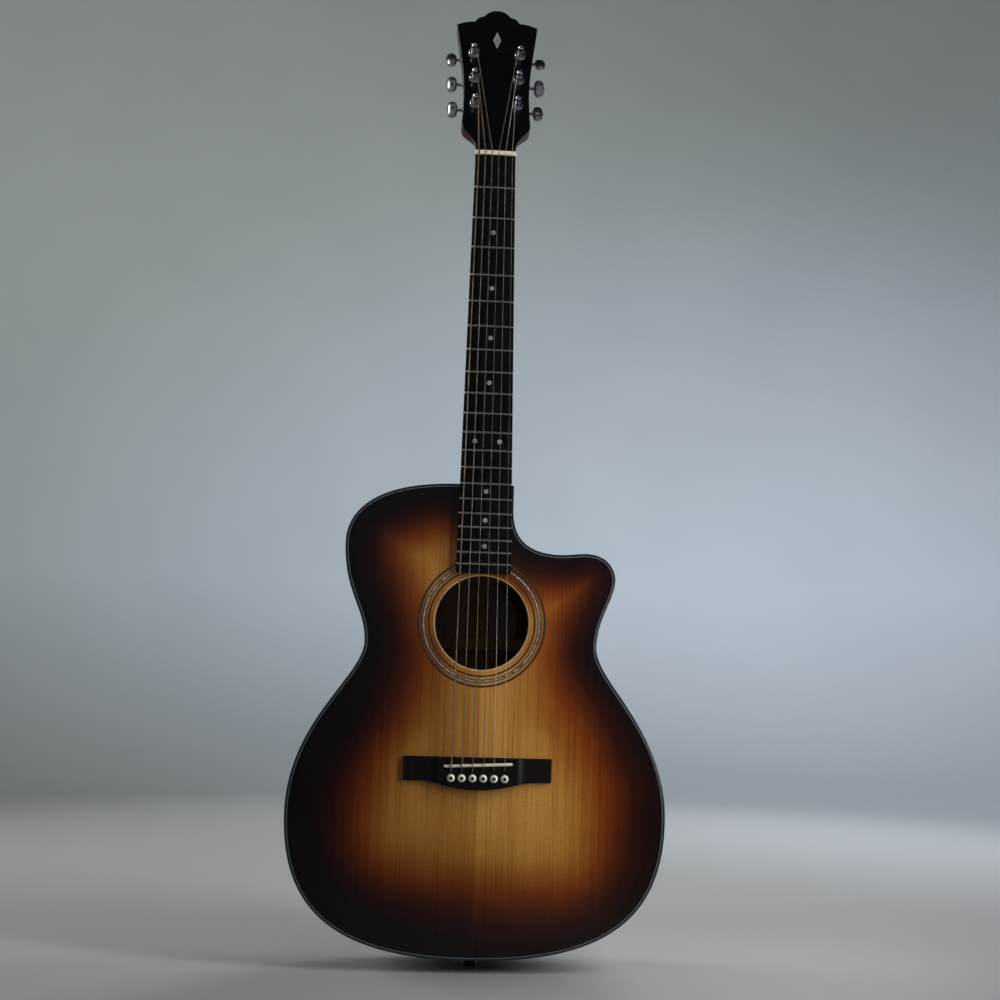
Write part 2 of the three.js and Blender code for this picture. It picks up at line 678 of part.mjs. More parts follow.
// One slice across the fingerboard, raised by the height of a fret where there is one.
function boardSection(down, raised) {
  const half = boardHalf(down);
  const steps = 4;
  const z = zAt(down);
  const front = Array.from({ length: steps + 1 }, (_, i) => {
    const x = half * ((2 * i) / steps - 1);
    return new THREE.Vector3(x, yAt(BOARD_THICKNESS - camber(x) + raised), z);
  });
  return [new THREE.Vector3(-half, TOP_Y, z), ...front, new THREE.Vector3(half, TOP_Y, z)];
}

function makeFingerboard() {
  const sections = [boardSection(0, 0)];
  for (let number = 1; number <= FRET_COUNT; number += 1) {
    const centre = fretDown(number);
    sections.push(boardSection(centre - FRET_WIDTH / 2, 0));
    sections.push(boardSection(centre, FRET_HEIGHT));
    sections.push(boardSection(centre + FRET_WIDTH / 2, 0));
  }
  sections.push(boardSection(BOARD_DOWN_END, 0));
  add('fingerboard', loft(sections.reverse()), DARK_WOOD);
}

// A strip of bone under the strings, with its top edge curved like the fingerboard.
function boneStrip(half, footRise, topRise, thickness) {
  const shape = new THREE.Shape([new THREE.Vector2(-half, footRise), new THREE.Vector2(half, footRise)]);
  const steps = 6;
  for (let i = 0; i <= steps; i += 1) {
    const x = half * (1 - (2 * i) / steps);
    shape.lineTo(x, topRise - camber(x));
  }
  const geometry = new THREE.ExtrudeGeometry(shape, { depth: thickness, bevelEnabled: false });
  geometry.translate(0, 0, -thickness / 2);
  geometry.rotateX(Math.PI);
  geometry.translate(0, TOP_Y, 0);
  return geometry;
}

function makeNut() {
  const strip = boneStrip(NUT_HALF_WIDTH, 0, NUT_STRING_RISE - 0.15, NUT_THICKNESS);
  const nut = add('nut', strip, BONE);
  nut.position.z = NUT_Z + NUT_THICKNESS / 2;
}

function makeTrussRod() {
  const centre = [0, yAt(ROD_RISE)];
  const rodEnd = zAt(422);
  add('truss_rod', rod('z', 2.6, rodEnd, zAt(14), centre, 12), STEEL);

  const nutTop = zAt(416.5);
  const nutEnd = zAt(431);
  const barrel = solid(rod('z', 4, nutEnd, nutTop, centre, 16));
  const thread = solid(rod('z', 2.9, rodEnd - 1, nutTop + 1, centre, 12));
  const socket = solid(rod('z', 2.3, nutEnd - 1, nutEnd + 5, centre, 6));
  add('truss_rod_nut', geometryOf(barrel.subtract(thread).subtract(socket)), BRASS);
}

// ---------------------------------------------------------------- bridge

function makeBridge() {
  const outline = new THREE.Shape();
  outline.moveTo(-BRIDGE_HALF, zAt(BRIDGE_DOWN_TOP));
  outline.lineTo(-BRIDGE_HALF, zAt(664.5));
  outline.quadraticCurveTo(-BRIDGE_HALF, zAt(667), -BRIDGE_HALF + 3, zAt(667));
  outline.lineTo(-60, zAt(667));
  outline.bezierCurveTo(-38, zAt(667.5), -30, zAt(675.4), 0, zAt(675.4));
  outline.bezierCurveTo(30, zAt(675.4), 38, zAt(667.5), 60, zAt(667));
  outline.lineTo(BRIDGE_HALF - 3, zAt(667));
  outline.quadraticCurveTo(BRIDGE_HALF, zAt(667), BRIDGE_HALF, zAt(664.5));
  outline.lineTo(BRIDGE_HALF, zAt(BRIDGE_DOWN_TOP));
  const base = solid(plate(new THREE.Shape(outline.getPoints(5)), yAt(BRIDGE_HEIGHT), yAt(0)));

  // Seen from the tail, the wings fall away from a thick middle.
  const profile = new THREE.Shape([
    new THREE.Vector2(-80, 1),
    new THREE.Vector2(-80, -3.6),
    new THREE.Vector2(-43, -6.4),
    new THREE.Vector2(-41, -BRIDGE_HEIGHT - 1),
    new THREE.Vector2(41, -BRIDGE_HEIGHT - 1),
    new THREE.Vector2(43, -6.4),
    new THREE.Vector2(80, -3.6),
    new THREE.Vector2(80, 1),
  ]);
  const wings = new THREE.ExtrudeGeometry(profile, { depth: 60, bevelEnabled: false });
  wings.translate(0, TOP_Y, zAt(690));
  const slot = block(
    -SADDLE_HALF - GAP, SADDLE_HALF + GAP,
    yAt(20), yAt(3),
    -SADDLE_THICKNESS / 2 - GAP, SADDLE_THICKNESS / 2 + GAP,
  );
  slot.rotateY(SADDLE_TURN);
  slot.translate(0, 0, SADDLE_Z);
  const bridge = base.intersect(solid(wings)).subtract(solid(slot)).subtract(PIN_HOLES);
  add('bridge', geometryOf(bridge), DARK_WOOD);
}

function makeSaddle() {
  const strip = boneStrip(SADDLE_HALF, 3 + GAP, SADDLE_STRING_RISE - GAP, SADDLE_THICKNESS);
  const saddle = add('saddle', strip, BONE);
  saddle.rotation.y = SADDLE_TURN;
  saddle.position.z = SADDLE_Z;
}

// A tapered plug with a round head. Its foot is at the bottom of the profile.
function makeBridgePin(index) {
  const pin = revolve([
    [0, -24], [2, -24], [2.1, -23], [2.55, 0.3], [3.9, 0.6], [4.1, 1.8], [3.6, 3.4], [2.2, 4.6], [0, 5],
  ], 8);
  const mesh = add(`bridge_pin_${STRING_NUMBERS[index]}`, pin, WHITE_PLASTIC);
  mesh.rotation.x = Math.PI;
  mesh.position.set(saddleX(index), yAt(BRIDGE_HEIGHT), zAt(PIN_DOWN));
}

// ---------------------------------------------------------------- strings

// From the ball end under the bridge, up its slot, over the saddle and the nut, to its post.
function makeString(index) {
  const radius = STRING_DIAMETERS[index] / 2;
  const { side, across, along } = TUNERS[index];
  const x = saddleX(index);
  const startX = nutX(index);
  const crown = NUT_STRING_RISE - camber(startX) + radius + 0.1;
  const saddleRise = SADDLE_STRING_RISE - camber(x) + radius;
  const postX = side * (across - POST_RADIUS - radius - GAP);
  const points = [
    new THREE.Vector3(x, yAt(-8), zAt(WIRE_DOWN)),
    new THREE.Vector3(x, yAt(6.3), zAt(WIRE_DOWN)),
    new THREE.Vector3(x, yAt(saddleRise), zAt(saddleDown(x) + SADDLE_THICKNESS / 2 + GAP)),
    new THREE.Vector3(startX, yAt(crown), NUT_Z),
    new THREE.Vector3(startX, yAt(crown), NUT_Z + NUT_THICKNESS),
    headPoint(postX, along, STRING_ON_POST),
  ];
  const ball = new THREE.SphereGeometry(2, 8, 5);
  ball.translate(x, yAt(-7.8), zAt(WIRE_DOWN - 1));
  const body = solid(wire(points, radius)).add(solid(ball));
  const material = index < 4 ? BRONZE : STEEL;
  add(`string_${STRING_NUMBERS[index]}`, geometryOf(body), material);
}

// ---------------------------------------------------------------- tuners

const HOUSING_FRONT = -VENEER_THICKNESS - HEAD_THICKNESS - 2 * GAP;
const HOUSING_BACK = -28.6;
const COLLAR_REACH = 13;

// The gear casing behind the head, in one piece with the bushing through the head.
// It is drawn for a post on the right of the head; the left ones are mirrored.
function tunerHousing() {
  const casing = solid(block(-8.5, 8.5, -8, 11, HOUSING_BACK, HOUSING_FRONT));
  const sleeve = solid(rod('z', 4.7, HOUSING_FRONT - 1, 1, [0, 0], 8));
  const nutRing = new THREE.CylinderGeometry(5.9, 5.9, 2.4, 6);
  nutRing.rotateX(Math.PI / 2);
  nutRing.translate(0, 0, 1.5);
  const collar = solid(rod('x', 3.6, 8, COLLAR_REACH, [WORM_OFFSET, WORM_DEPTH], 8));
  const shell = casing.add(sleeve).add(solid(nutRing)).add(collar);

  const gearRoom = solid(rod('z', GEAR_RADIUS + 0.4, -25.8, -20.2, [0, 0], 10));
  const postRoom = solid(rod('z', POST_RADIUS + GAP, -21, 5, [0, 0], 8));
  const wormRoom = solid(rod('x', WORM_RADIUS + GAP, -7, 7, [WORM_OFFSET, WORM_DEPTH], 8));
  const shaftRoom = solid(rod('x', KNOB_SHAFT_RADIUS + GAP, 6, 30, [WORM_OFFSET, WORM_DEPTH], 8));
  return shell.subtract(gearRoom).subtract(postRoom).subtract(wormRoom).subtract(shaftRoom);
}

function tunerKnob(turnedBy) {
  const worm = solid(rod('x', WORM_RADIUS, -6, 6, [0, 0], 8));
  const shaft = solid(rod('x', KNOB_SHAFT_RADIUS, 5, 20, [0, 0], 8));
  const button = new THREE.SphereGeometry(1, 10, 7);
  button.rotateZ(Math.PI / 2);
  button.scale(6.2, 10.5, 4);
  button.rotateX(THREE.MathUtils.degToRad(turnedBy));
  button.translate(BUTTON_CENTRE, 0, 0);
  return worm.add(shaft).add(solid(button));
}

function mirrorX(geometry) {
  geometry.scale(-1, 1, 1);
  const order = geometry.index.array;
  for (let i = 0; i < order.length; i += 3) {
    [order[i], order[i + 1]] = [order[i + 1], order[i]];
  }
  geometry.computeVertexNormals();
  return geometry;
}

function makeTuner(index) {
  const { side, across, along, turned: turnedBy } = TUNERS[index];
  const number = STRING_NUMBERS[index];
  const handed = (geometry) => (side < 0 ? mirrorX(geometry) : geometry);

  const housing = add(`tuner_housing_${number}`, handed(geometryOf(tunerHousing())), CHROME, head);
  housing.position.set(side * across, along, 0);

  const post = revolve([
    [0, -25.4], [GEAR_RADIUS, -25.4], [GEAR_RADIUS, -20.6], [POST_RADIUS, -20.6],
    [POST_RADIUS, 5], [2.5, 6], [2.5, 9.5], [POST_RADIUS, 10.5], [POST_RADIUS, POST_TOP - 0.6],
    [2.4, POST_TOP], [0, POST_TOP],
  ], 8);
  const postMesh = add(`tuner_post_${number}`, post, CHROME, head);
  postMesh.rotation.x = Math.PI / 2;
  postMesh.position.set(side * across, along, 0);

  const knob = add(`tuner_knob_${number}`, handed(geometryOf(tunerKnob(turnedBy))), CHROME, head);
  knob.position.set(side * across, along + WORM_OFFSET, WORM_DEPTH);
}

// ---------------------------------------------------------------- end pin

function makeEndPin() {
  const pin = revolve([
    [0, 0], [6.2, 0], [7, 0.8], [7, 2.2], [5.2, 4.6], [4.2, 8], [5, 10.6], [6.4, 11.6], [6.4, 12.6],
    [3.5, 12.65], [3.1, 34], [0, 34],
  ], 12);
  const mesh = add('end_pin', pin, BLACK_GLOSS);
  mesh.rotation.x = Math.PI / 2;
}

// ---------------------------------------------------------------- assembly

makeSoundboard();
makeBack();
makeBindings();
makeSides();
makeLinings();
makeBlocks();
makeTopBraces();
makeBackBracing();
makeNeck();
makeHeelCap();
makeFingerboard();
makeNut();
makeTrussRod();
makeBridge();
makeSaddle();
STRING_DIAMETERS.forEach((_, index) => {
  makeBridgePin(index);
  makeString(index);
  makeTuner(index);
});
makeEndPin();

export default guitar;
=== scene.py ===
"""Looks of the steel-string acoustic guitar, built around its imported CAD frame, for Blender 4.5.

The row frame: +Z runs up the neck, the soundboard faces -Y and the cutaway is on the +X side.
Shapes are worked out in millimetres and become metres when a piece is made.
"down" is the distance from the nut towards the tail, and "rise" is the height in front of the
soundboard. On the head, "along" runs up its face from the nut and "out" stands on that face.
"""

import math

import bmesh
import bpy
import numpy as np
from mathutils import Matrix, Vector
from mathutils.geometry import delaunay_2d_cdt


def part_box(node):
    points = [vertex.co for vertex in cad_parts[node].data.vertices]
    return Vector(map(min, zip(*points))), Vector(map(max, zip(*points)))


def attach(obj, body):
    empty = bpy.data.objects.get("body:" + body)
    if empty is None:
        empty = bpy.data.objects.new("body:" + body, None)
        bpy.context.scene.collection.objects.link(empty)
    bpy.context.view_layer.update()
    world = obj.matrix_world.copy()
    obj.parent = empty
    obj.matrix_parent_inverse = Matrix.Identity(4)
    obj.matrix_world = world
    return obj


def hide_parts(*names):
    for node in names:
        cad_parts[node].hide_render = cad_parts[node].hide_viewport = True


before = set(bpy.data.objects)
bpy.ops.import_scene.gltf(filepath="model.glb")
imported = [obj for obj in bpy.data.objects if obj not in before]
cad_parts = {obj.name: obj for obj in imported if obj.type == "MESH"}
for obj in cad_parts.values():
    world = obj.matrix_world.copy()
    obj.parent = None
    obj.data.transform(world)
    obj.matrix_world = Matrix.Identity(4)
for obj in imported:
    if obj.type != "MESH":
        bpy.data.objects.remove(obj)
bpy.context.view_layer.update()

# ---------------------------------------------------------------- places and sizes, in millimetres

MM = 0.001
TOP_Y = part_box("soundboard")[0].y / MM
NUT_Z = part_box("nut")[0].z / MM
TAIL_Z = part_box("top_binding")[0].z / MM

SCALE_LENGTH = 648.0
FRET_COUNT = 20
JOINT_Z = NUT_Z - SCALE_LENGTH * (1 - 2 ** (-14 / 12))
BODY_LENGTH = JOINT_Z - TAIL_Z

DEPTH_AT_TAIL = 102.0
DEPTH_AT_NECK = 85.0
LOWER_HALF_WIDTH = 195.2
BINDING_WIDTH = 2.0
PURFLING_END = 3.5
BINDING_HEIGHT = 6.0
PLATE_THICKNESS = 3.0
SIDE_THICKNESS = 2.2
TENON_GAP_HALF = 10.3

HOLE_Z = NUT_Z - 504.6
HOLE_RADIUS = 48.7

BOARD_THICKNESS = 6.5
BOARD_END = 453.4
BOARD_HALF_AT_NUT = 21.6
BOARD_HALF_AT_END = 28.7
CAMBER_RADIUS = 400.0

STRING_COUNT = 6
STRING_DIAMETERS = (1.35, 1.07, 0.81, 0.61, 0.41, 0.3)
NUT_STRING_HALF = 18.2
NUT_STRING_RISE = 8.1
NUT_HALF = 22.1
NUT_THICKNESS = 5.5
SADDLE_STRING_HALF = 27.4
SADDLE_STRING_RISE = 11.9
SADDLE_HALF = 35.4
SADDLE_DOWN_BASS = 651.8
SADDLE_DOWN_TREBLE = 648.5
BRIDGE_HALF = 76.2
BRIDGE_HEIGHT = 8.6
PIN_DOWN = 663.3
PIN_DOWN = 663.3
PIN_HOLE_DOWN = 661.7
PIN_HOLE_RADIUS = 4.7
WIRE_DOWN = 659.6

NECK_DEPTH_AT_NUT = 15.0
NECK_DEPTH_AT_BODY = 18.0
HEEL_DEPTH = 150.0
HEEL_LENGTH = 90.0
HEEL_POWER = 2.2
ROD_SLOT_HALF = 3.3
ROD_SLOT_DEPTH = 11.3

HEAD_TILT = math.radians(13)
HEAD_START = 6.5
HEAD_HALF_AT_NUT = 22.1
HEAD_DEPTH_AT_NUT = 13.4
VENEER_THICKNESS = 2.0
HEAD_BACK = -16.3
POST_HOLE_RADIUS = 4.9

# across, along, and how far the button is turned, from the sixth string to the first
TUNERS = (
    (-23.3, 66.4, 183),
    (-24.6, 100.1, 179),
    (-25.8, 133.1, 168),
    (25.8, 133.1, 154),
    (24.6, 100.1, 192),
    (23.3, 66.4, 171),
)
WORM_OFFSET = 6.3
WORM_OUT = -23.0
HOUSING_BACK = -28.6
HOUSING_FRONT = -16.7

ALONG = Vector((0, math.sin(HEAD_TILT), math.cos(HEAD_TILT)))
OUT = Vector((0, -math.cos(HEAD_TILT), math.sin(HEAD_TILT)))
HEAD_ORIGIN = Vector((0, TOP_Y - 5, NUT_Z))


def at(x, down, rise):
    """A point measured from the nut and the soundboard."""
    return Vector((x, TOP_Y - rise, NUT_Z - down))


def on_head(x, along, out):
    """A point measured on the tilted head."""
    return HEAD_ORIGIN + Vector((x, 0, 0)) + along * ALONG + out * OUT


def camber(x):
    """How much lower the curved fingerboard is at x than at its middle."""
    return x * x / (2 * CAMBER_RADIUS)


def lerp(a, b, t):
    return a + (b - a) * t


def fret_down(number):
    return SCALE_LENGTH * (1 - 2 ** (-number / 12))


def board_half(down):
    return lerp(BOARD_HALF_AT_NUT, BOARD_HALF_AT_END, down / BOARD_END)


def back_y(x, z):
    """The domed back's outer face."""
    part = min(max((z - TAIL_Z) / BODY_LENGTH, 0), 1)
    across = 4.5 * (1 - (x / LOWER_HALF_WIDTH) ** 2)
    return TOP_Y + lerp(DEPTH_AT_TAIL, DEPTH_AT_NECK, part) + across + 12 * part * (1 - part)


def string_part(index):
    return 2 * index / (STRING_COUNT - 1) - 1


def saddle_down(x):
    return lerp(SADDLE_DOWN_BASS, SADDLE_DOWN_TREBLE, (x + SADDLE_HALF) / (2 * SADDLE_HALF))


# ---------------------------------------------------------------- building meshes


class Shell:
    """Points and faces of one piece, in millimetres, while it is being built."""

    def __init__(self):
        self.points, self.faces, self.marks = [], [], []

    def add(self, points):
        start = len(self.points)
        self.points += [Vector(p) for p in points]
        return list(range(start, len(self.points)))

    def face(self, ids, mark=0):
        self.faces.append(ids)
        self.marks.append(mark)

    def join(self, a, b, marks=(0,)):
        """Squares between two rings. marks gives a finish for each stretch round them."""
        for i in range(len(a)):
            n = (i + 1) % len(a)
            self.face((a[i], a[n], b[n], b[i]), marks[i % len(marks)])

    def loft(self, rings, caps=True, marks=(0,)):
        """A skin over a row of rings."""
        rows = [self.add(ring) for ring in rings]
        for a, b in zip(rows, rows[1:]):
            self.join(a, b, marks)
        if caps:
            self.face(rows[0])
            self.face(rows[-1])
        return self


def piece(name, shell, finishes, body="guitar", stands_for=(), slot=None, sharp=35):
    """Makes the object for a shell, with welded corners, outward faces and smooth shading."""
    work = bmesh.new()
    corners = [work.verts.new(p * MM) for p in shell.points]
    for ids, mark in zip(shell.faces, shell.marks):
        work.faces.new([corners[i] for i in ids]).material_index = mark
    bmesh.ops.remove_doubles(work, verts=work.verts, dist=2e-6)
    bmesh.ops.dissolve_degenerate(work, dist=1e-6, edges=work.edges)
    bmesh.ops.recalc_face_normals(work, faces=work.faces)
    mesh = bpy.data.meshes.new(name)
    work.to_mesh(mesh)
    work.free()
    obj = bpy.data.objects.new(name, mesh)
    bpy.context.scene.collection.objects.link(obj)
    for finish in finishes if isinstance(finishes, (list, tuple)) else [finishes]:
        mesh.materials.append(finish)
    if body:
        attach(obj, body)
        if stands_for:
            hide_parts(*stands_for)
    soften(obj, sharp)
    return obj


def soften(obj, sharp=35):
    """Smooth shading, with edges kept crisp where faces meet at more than an angle."""
    obj.data.shade_smooth()
    obj.data.set_sharp_from_angle(angle=math.radians(sharp))
    even = obj.modifiers.new("even_normals", "WEIGHTED_NORMAL")
    even.keep_sharp = True


def carve(obj, cutters, operation="DIFFERENCE", sharp=35):
    """Cuts shells out of a piece one after the other, or joins them on when operation is UNION."""
    for shell in cutters:
        tool = piece("cutter", shell, [], body=None)
        tool.modifiers.clear()
        obj.modifiers.clear()
        change = obj.modifiers.new("cut", "BOOLEAN")
        change.operation, change.solver, change.object = operation, "EXACT", tool
        bpy.context.view_layer.update()
        shape = obj.evaluated_get(bpy.context.evaluated_depsgraph_get())
        mesh = bpy.data.meshes.new_from_object(shape)
        obj.modifiers.clear()
        obj.data = mesh
        bpy.data.objects.remove(tool)
    soften(obj, sharp)
    return obj


def curve(start, leave, end, arrive, spacing=3.0):
    """Points on a smooth stretch between two points, without the last one."""
    p0, p3 = Vector(start), Vector(end)
    p1, p2 = p0 + Vector(leave), p3 + Vector(arrive)
    steps = max(2, round(((p1 - p0).length + (p2 - p1).length + (p3 - p2).length) / spacing))
    found = []
    for i in range(steps):
        t = i / steps
        s = 1 - t
        found.append(s**3 * p0 + 3 * s * s * t * p1 + 3 * s * t * t * p2 + t**3 * p3)
    return found


def straight(start, end, spacing=3.0):
    """Points on a straight stretch, without the last one."""
    a, b = Vector(start), Vector(end)
    steps = max(1, round((b - a).length / spacing))
    return [a.lerp(b, i / steps) for i in range(steps)]


def inset(loop, distance):
    """Moves a closed counterclockwise loop inwards."""
    if not distance:
        return [p.copy() for p in loop]
    moved = []
    for i, p in enumerate(loop):
        before, after = p - loop[i - 1], loop[(i + 1) % len(loop)] - p
        n1 = Vector((-before.y, before.x)).normalized()
        n2 = Vector((-after.y, after.x)).normalized()
        moved.append(p + (n1 + n2) * (distance / max(1 + n1.dot(n2), 0.3)))
    return moved


def circle(x, z, radius, sides):
    angles = [2 * math.pi * i / sides for i in range(sides)]
    return [Vector((x + radius * math.cos(a), z + radius * math.sin(a))) for a in angles]


def within(points, loop):
    """Which points lie inside a loop."""
    a = np.array([tuple(p) for p in loop])
    b = np.roll(a, -1, axis=0)
    x, z = points[:, 0, None], points[:, 1, None]
    crosses = (a[:, 1] > z) != (b[:, 1] > z)
    rise = np.where(b[:, 1] == a[:, 1], 1e-9, b[:, 1] - a[:, 1])
    hits = crosses & (x < (b[:, 0] - a[:, 0]) * (z - a[:, 1]) / rise + a[:, 0])
    return hits.sum(1) % 2 == 1


def distance_to(points, loop):
    """Distance of each point from a closed loop."""
    a = np.array([tuple(p) for p in loop])
    d = np.roll(a, -1, axis=0) - a
    found = []
    for part in np.array_split(points, max(1, len(points) // 2000)):
        v = part[:, None] - a
        t = np.clip((v * d).sum(2) / np.maximum((d * d).sum(1), 1e-12), 0, 1)
        found.append(np.linalg.norm(v - t[:, :, None] * d, axis=2).min(1))
    return np.concatenate(found)


def filled(outer, holes, spacing, lines=()):
    """Flat triangles that fill a loop round its circular holes (x, z, radius, sides)."""
    loops = [outer] + [circle(*hole) for hole in holes]
    flat, edges = [], []
    for loop in loops:
        start, count = len(flat), len(loop)
        flat += loop
        edges += [(start + i, start + (i + 1) % count) for i in range(count)]
    for line in lines:
        start = len(flat)
        flat += line
        edges += [(start + i, start + i + 1) for i in range(len(line) - 1)]
    low = np.array([min(p.x for p in outer), min(p.y for p in outer)])
    high = np.array([max(p.x for p in outer), max(p.y for p in outer)])
    across, up = np.meshgrid(np.arange(low[0], high[0], spacing), np.arange(low[1], high[1], spacing))
    across[1::2] += spacing / 2
    inner = np.column_stack([across.ravel(), up.ravel()])
    inner = inner[within(inner, outer)]
    for loop in loops:
        inner = inner[distance_to(inner, loop) > 0.55 * spacing]
    flat += [Vector(p) for p in inner]
    points, _, faces, *_ = delaunay_2d_cdt(flat, edges, [], 1, 1e-6)
    kept = []
    for face in faces:
        middle = sum((points[i] for i in face), Vector((0, 0))) / len(face)
        if all((middle - Vector((x, z))).length > radius * 0.999 for x, z, radius, _ in holes):
            kept.append(face)
    return points, kept


def slab(outline, profile, place, spacing, holes=(), lines=()):
    """A plate. profile is (inset, level) from the front face round its edge to the back face.
    Each hole is (x, z, sides, its own profile of (radius, level)). place maps (x, z, level)."""
    shell = Shell()
    edges = [[(inset(outline, by), level) for by, level in profile]]
    edges += [[(circle(x, z, r, sides), level) for r, level in steps] for x, z, sides, steps in holes]
    for edge in edges:
        shell.loft([[place(p.x, p.y, level) for p in loop] for loop, level in edge], caps=False)
    for end in (0, -1):
        by, level = profile[end]
        circles = [(x, z, steps[end][0], sides) for x, z, sides, steps in holes]
        points, faces = filled(inset(outline, by), circles, spacing, lines)
        ids = shell.add([place(p.x, p.y, level) for p in points])
        for face in faces:
            shell.face([ids[i] for i in face])
    return shell


def box_shell(low, high, place=lambda x, y, z: Vector((x, y, z))):
    """A closed box, used as a cutting tool."""
    corners = [(low[0], low[1]), (high[0], low[1]), (high[0], high[1]), (low[0], high[1])]
    return Shell().loft([[place(x, y, z) for x, y in corners] for z in (low[2], high[2])])


def turned(shell, profile, place, sides, closed=False, shape=None, marks=None):
    """A turned form. profile is (radius, height); place maps (u, v, height) into the frame.
    shape may change the radius by (angle, radius, step). A closed profile is a ring of its own."""
    rows = []
    for step, (radius, height) in enumerate(profile):
        ring = []
        for i in range(sides):
            angle = 2 * math.pi * i / sides
            r = shape(angle, radius, step) if shape else radius
            ring.append(place(r * math.cos(angle), r * math.sin(angle), height))
        rows.append(shell.add(ring))
    if closed:
        rows.append(rows[0])
    marks = marks or [0] * len(profile)
    for a, b, mark in zip(rows, rows[1:], marks):
        shell.join(a, b, [mark])
    if not closed:
        shell.face(rows[0], marks[0])
        shell.face(rows[-1], marks[-1])
    return shell


def tube(shell, path, radius, sides):
    """A round bar along a path."""
    rings = []
    across = None
    for i, p in enumerate(path):
        direction = (path[min(i + 1, len(path) - 1)] - path[max(i - 1, 0)]).normalized()
        if across is None:
            across = direction.orthogonal().normalized()
        across = (across - direction * across.dot(direction)).normalized()
        other = direction.cross(across)
        turns = [2 * math.pi * k / sides for k in range(sides)]
        rings.append([p + (across * math.cos(a) + other * math.sin(a)) * radius for a in turns])
    return shell.loft(rings)


def measured(obj, name, loop):
    """Stores each point's distance from a loop in the XZ plane, in millimetres."""
    co = np.zeros(len(obj.data.vertices) * 3, np.float32)
    obj.data.vertices.foreach_get("co", co)
    flat = co.reshape(-1, 3)[:, [0, 2]].astype(float) / MM
    values = distance_to(flat, loop).astype(np.float32)
    obj.data.attributes.new(name, "FLOAT", "POINT").data.foreach_set("value", values)


# ---------------------------------------------------------------- finishes


def tone(red, green, blue):
    """A screen colour (0 to 255) as the linear values that a shader takes."""
    part = [c / 255 for c in (red, green, blue)]
    return tuple(c / 12.92 if c <= 0.04045 else ((c + 0.055) / 1.055) ** 2.4 for c in part) + (1,)


class Finish:
    """A material's node tree. Most methods add nodes and give back an output.
    A plain colour is its three screen values, from 0 to 255."""

    def __init__(self, name, roughness, metal=0.0, coat=0.0, coat_roughness=0.06, gloss=0.5):
        self.material = bpy.data.materials.new(name)
        self.material.use_nodes = True
        self.tree = self.material.node_tree
        self.tree.nodes.clear()
        self.shader = self.tree.nodes.new("ShaderNodeBsdfPrincipled")
        end = self.tree.nodes.new("ShaderNodeOutputMaterial")
        self.tree.links.new(self.shader.outputs[0], end.inputs[0])
        self.give("Roughness", roughness)
        self.give("Metallic", metal)
        self.give("Coat Weight", coat)
        self.give("Coat Roughness", coat_roughness)
        self.give("Specular IOR Level", gloss)

    def put(self, socket, value):
        """Links an output to an input socket, or sets a plain value there."""
        if isinstance(value, bpy.types.NodeSocket):
            self.tree.links.new(value, socket)
        else:
            socket.default_value = tone(*value) if socket.type == "RGBA" else value

    def give(self, name, value):
        self.put(self.shader.inputs[name], value)

    def node(self, kind, sockets, output=0, **settings):
        """Adds a node with its settings and inputs, and gives back one of its outputs."""
        made = self.tree.nodes.new("ShaderNode" + kind)
        for name, value in settings.items():
            setattr(made, name, value)
        for name, value in sockets.items():
            self.put(made.inputs[name], value)
        return made.outputs[output]

    def place(self, scale=1, mirrored=False):
        """Places on the piece in metres, enlarged. Mirrored ones are alike left and right."""
        out = self.node("TexCoord", {}, "Object")
        if mirrored:
            x, y, z = (self.axis(out, index) for index in range(3))
            out = self.node("CombineXYZ", {0: self.calc("ABSOLUTE", x), 1: y, 2: z})
        return self.stretched(out, (scale,) * 3)

    def stretched(self, vector, scale):
        return self.node("Mapping", {"Vector": vector, "Scale": scale})

    def stored(self, name, output="Fac"):
        """What each point of the mesh keeps under a name."""
        return self.node("Attribute", {}, output, attribute_name=name)

    def axis(self, vector, index):
        return self.node("SeparateXYZ", {0: vector}, index)

    def noise(self, vector, detail=3.0, rough=0.5, warp=0.0):
        sockets = {"Vector": vector, "Scale": 1, "Detail": detail, "Roughness": rough, "Distortion": warp}
        return self.node("TexNoise", sockets, "Fac")

    def calc(self, operation, *values):
        """A sum on values or outputs, by the name that Blender gives it."""
        return self.node("Math", dict(enumerate(values)), operation=operation)

    def weighed(self, *parts):
        """The sum of (value, weight) parts."""
        total = 0
        for value, weight in parts:
            total = self.calc("MULTIPLY_ADD", value, weight, total)
        return total

    def span(self, value, low, high, to_low=0.0, to_high=1.0):
        """Takes the stretch from low to high to another one, and holds values beyond its ends."""
        sockets = {"Value": value, "From Min": low, "From Max": high, "To Min": to_low, "To Max": to_high}
        return self.node("MapRange", sockets)

    def ramp(self, value, stops):
        """Colours for values from 0 to 1, as (value, colour) stops."""
        out = self.node("ValToRGB", {0: value})
        band = out.node.color_ramp
        while len(band.elements) < len(stops):
            band.elements.new(0.5)
        for element, (place, colour) in zip(band.elements, stops):
            element.position = place
            element.color = tone(*colour)
        return out

    def mix(self, share, a, b, how="MIX"):
        return self.node("Mix", {0: share, 6: a, 7: b}, 2, data_type="RGBA", blend_type=how)

    def bump(self, height, depth, strength):
        """depth is the height of the relief in millimetres."""
        sockets = {"Height": height, "Strength": strength, "Distance": depth * MM}
        self.give("Normal", self.node("Bump", sockets))


def straight_grain(made, vector, fine, coarse, drift):
    """Streaks along Z at three widths, as a value about a half."""
    thin = made.noise(made.stretched(vector, (fine, fine, 7)), detail=2, rough=0.6)
    wide = made.noise(made.stretched(vector, (coarse, coarse, 2.4)), detail=3, rough=0.6)
    slow = made.noise(made.stretched(vector, (drift, drift, 1.2)), detail=2)
    return made.weighed((thin, 0.5), (wide, 0.32), (slow, 0.18))


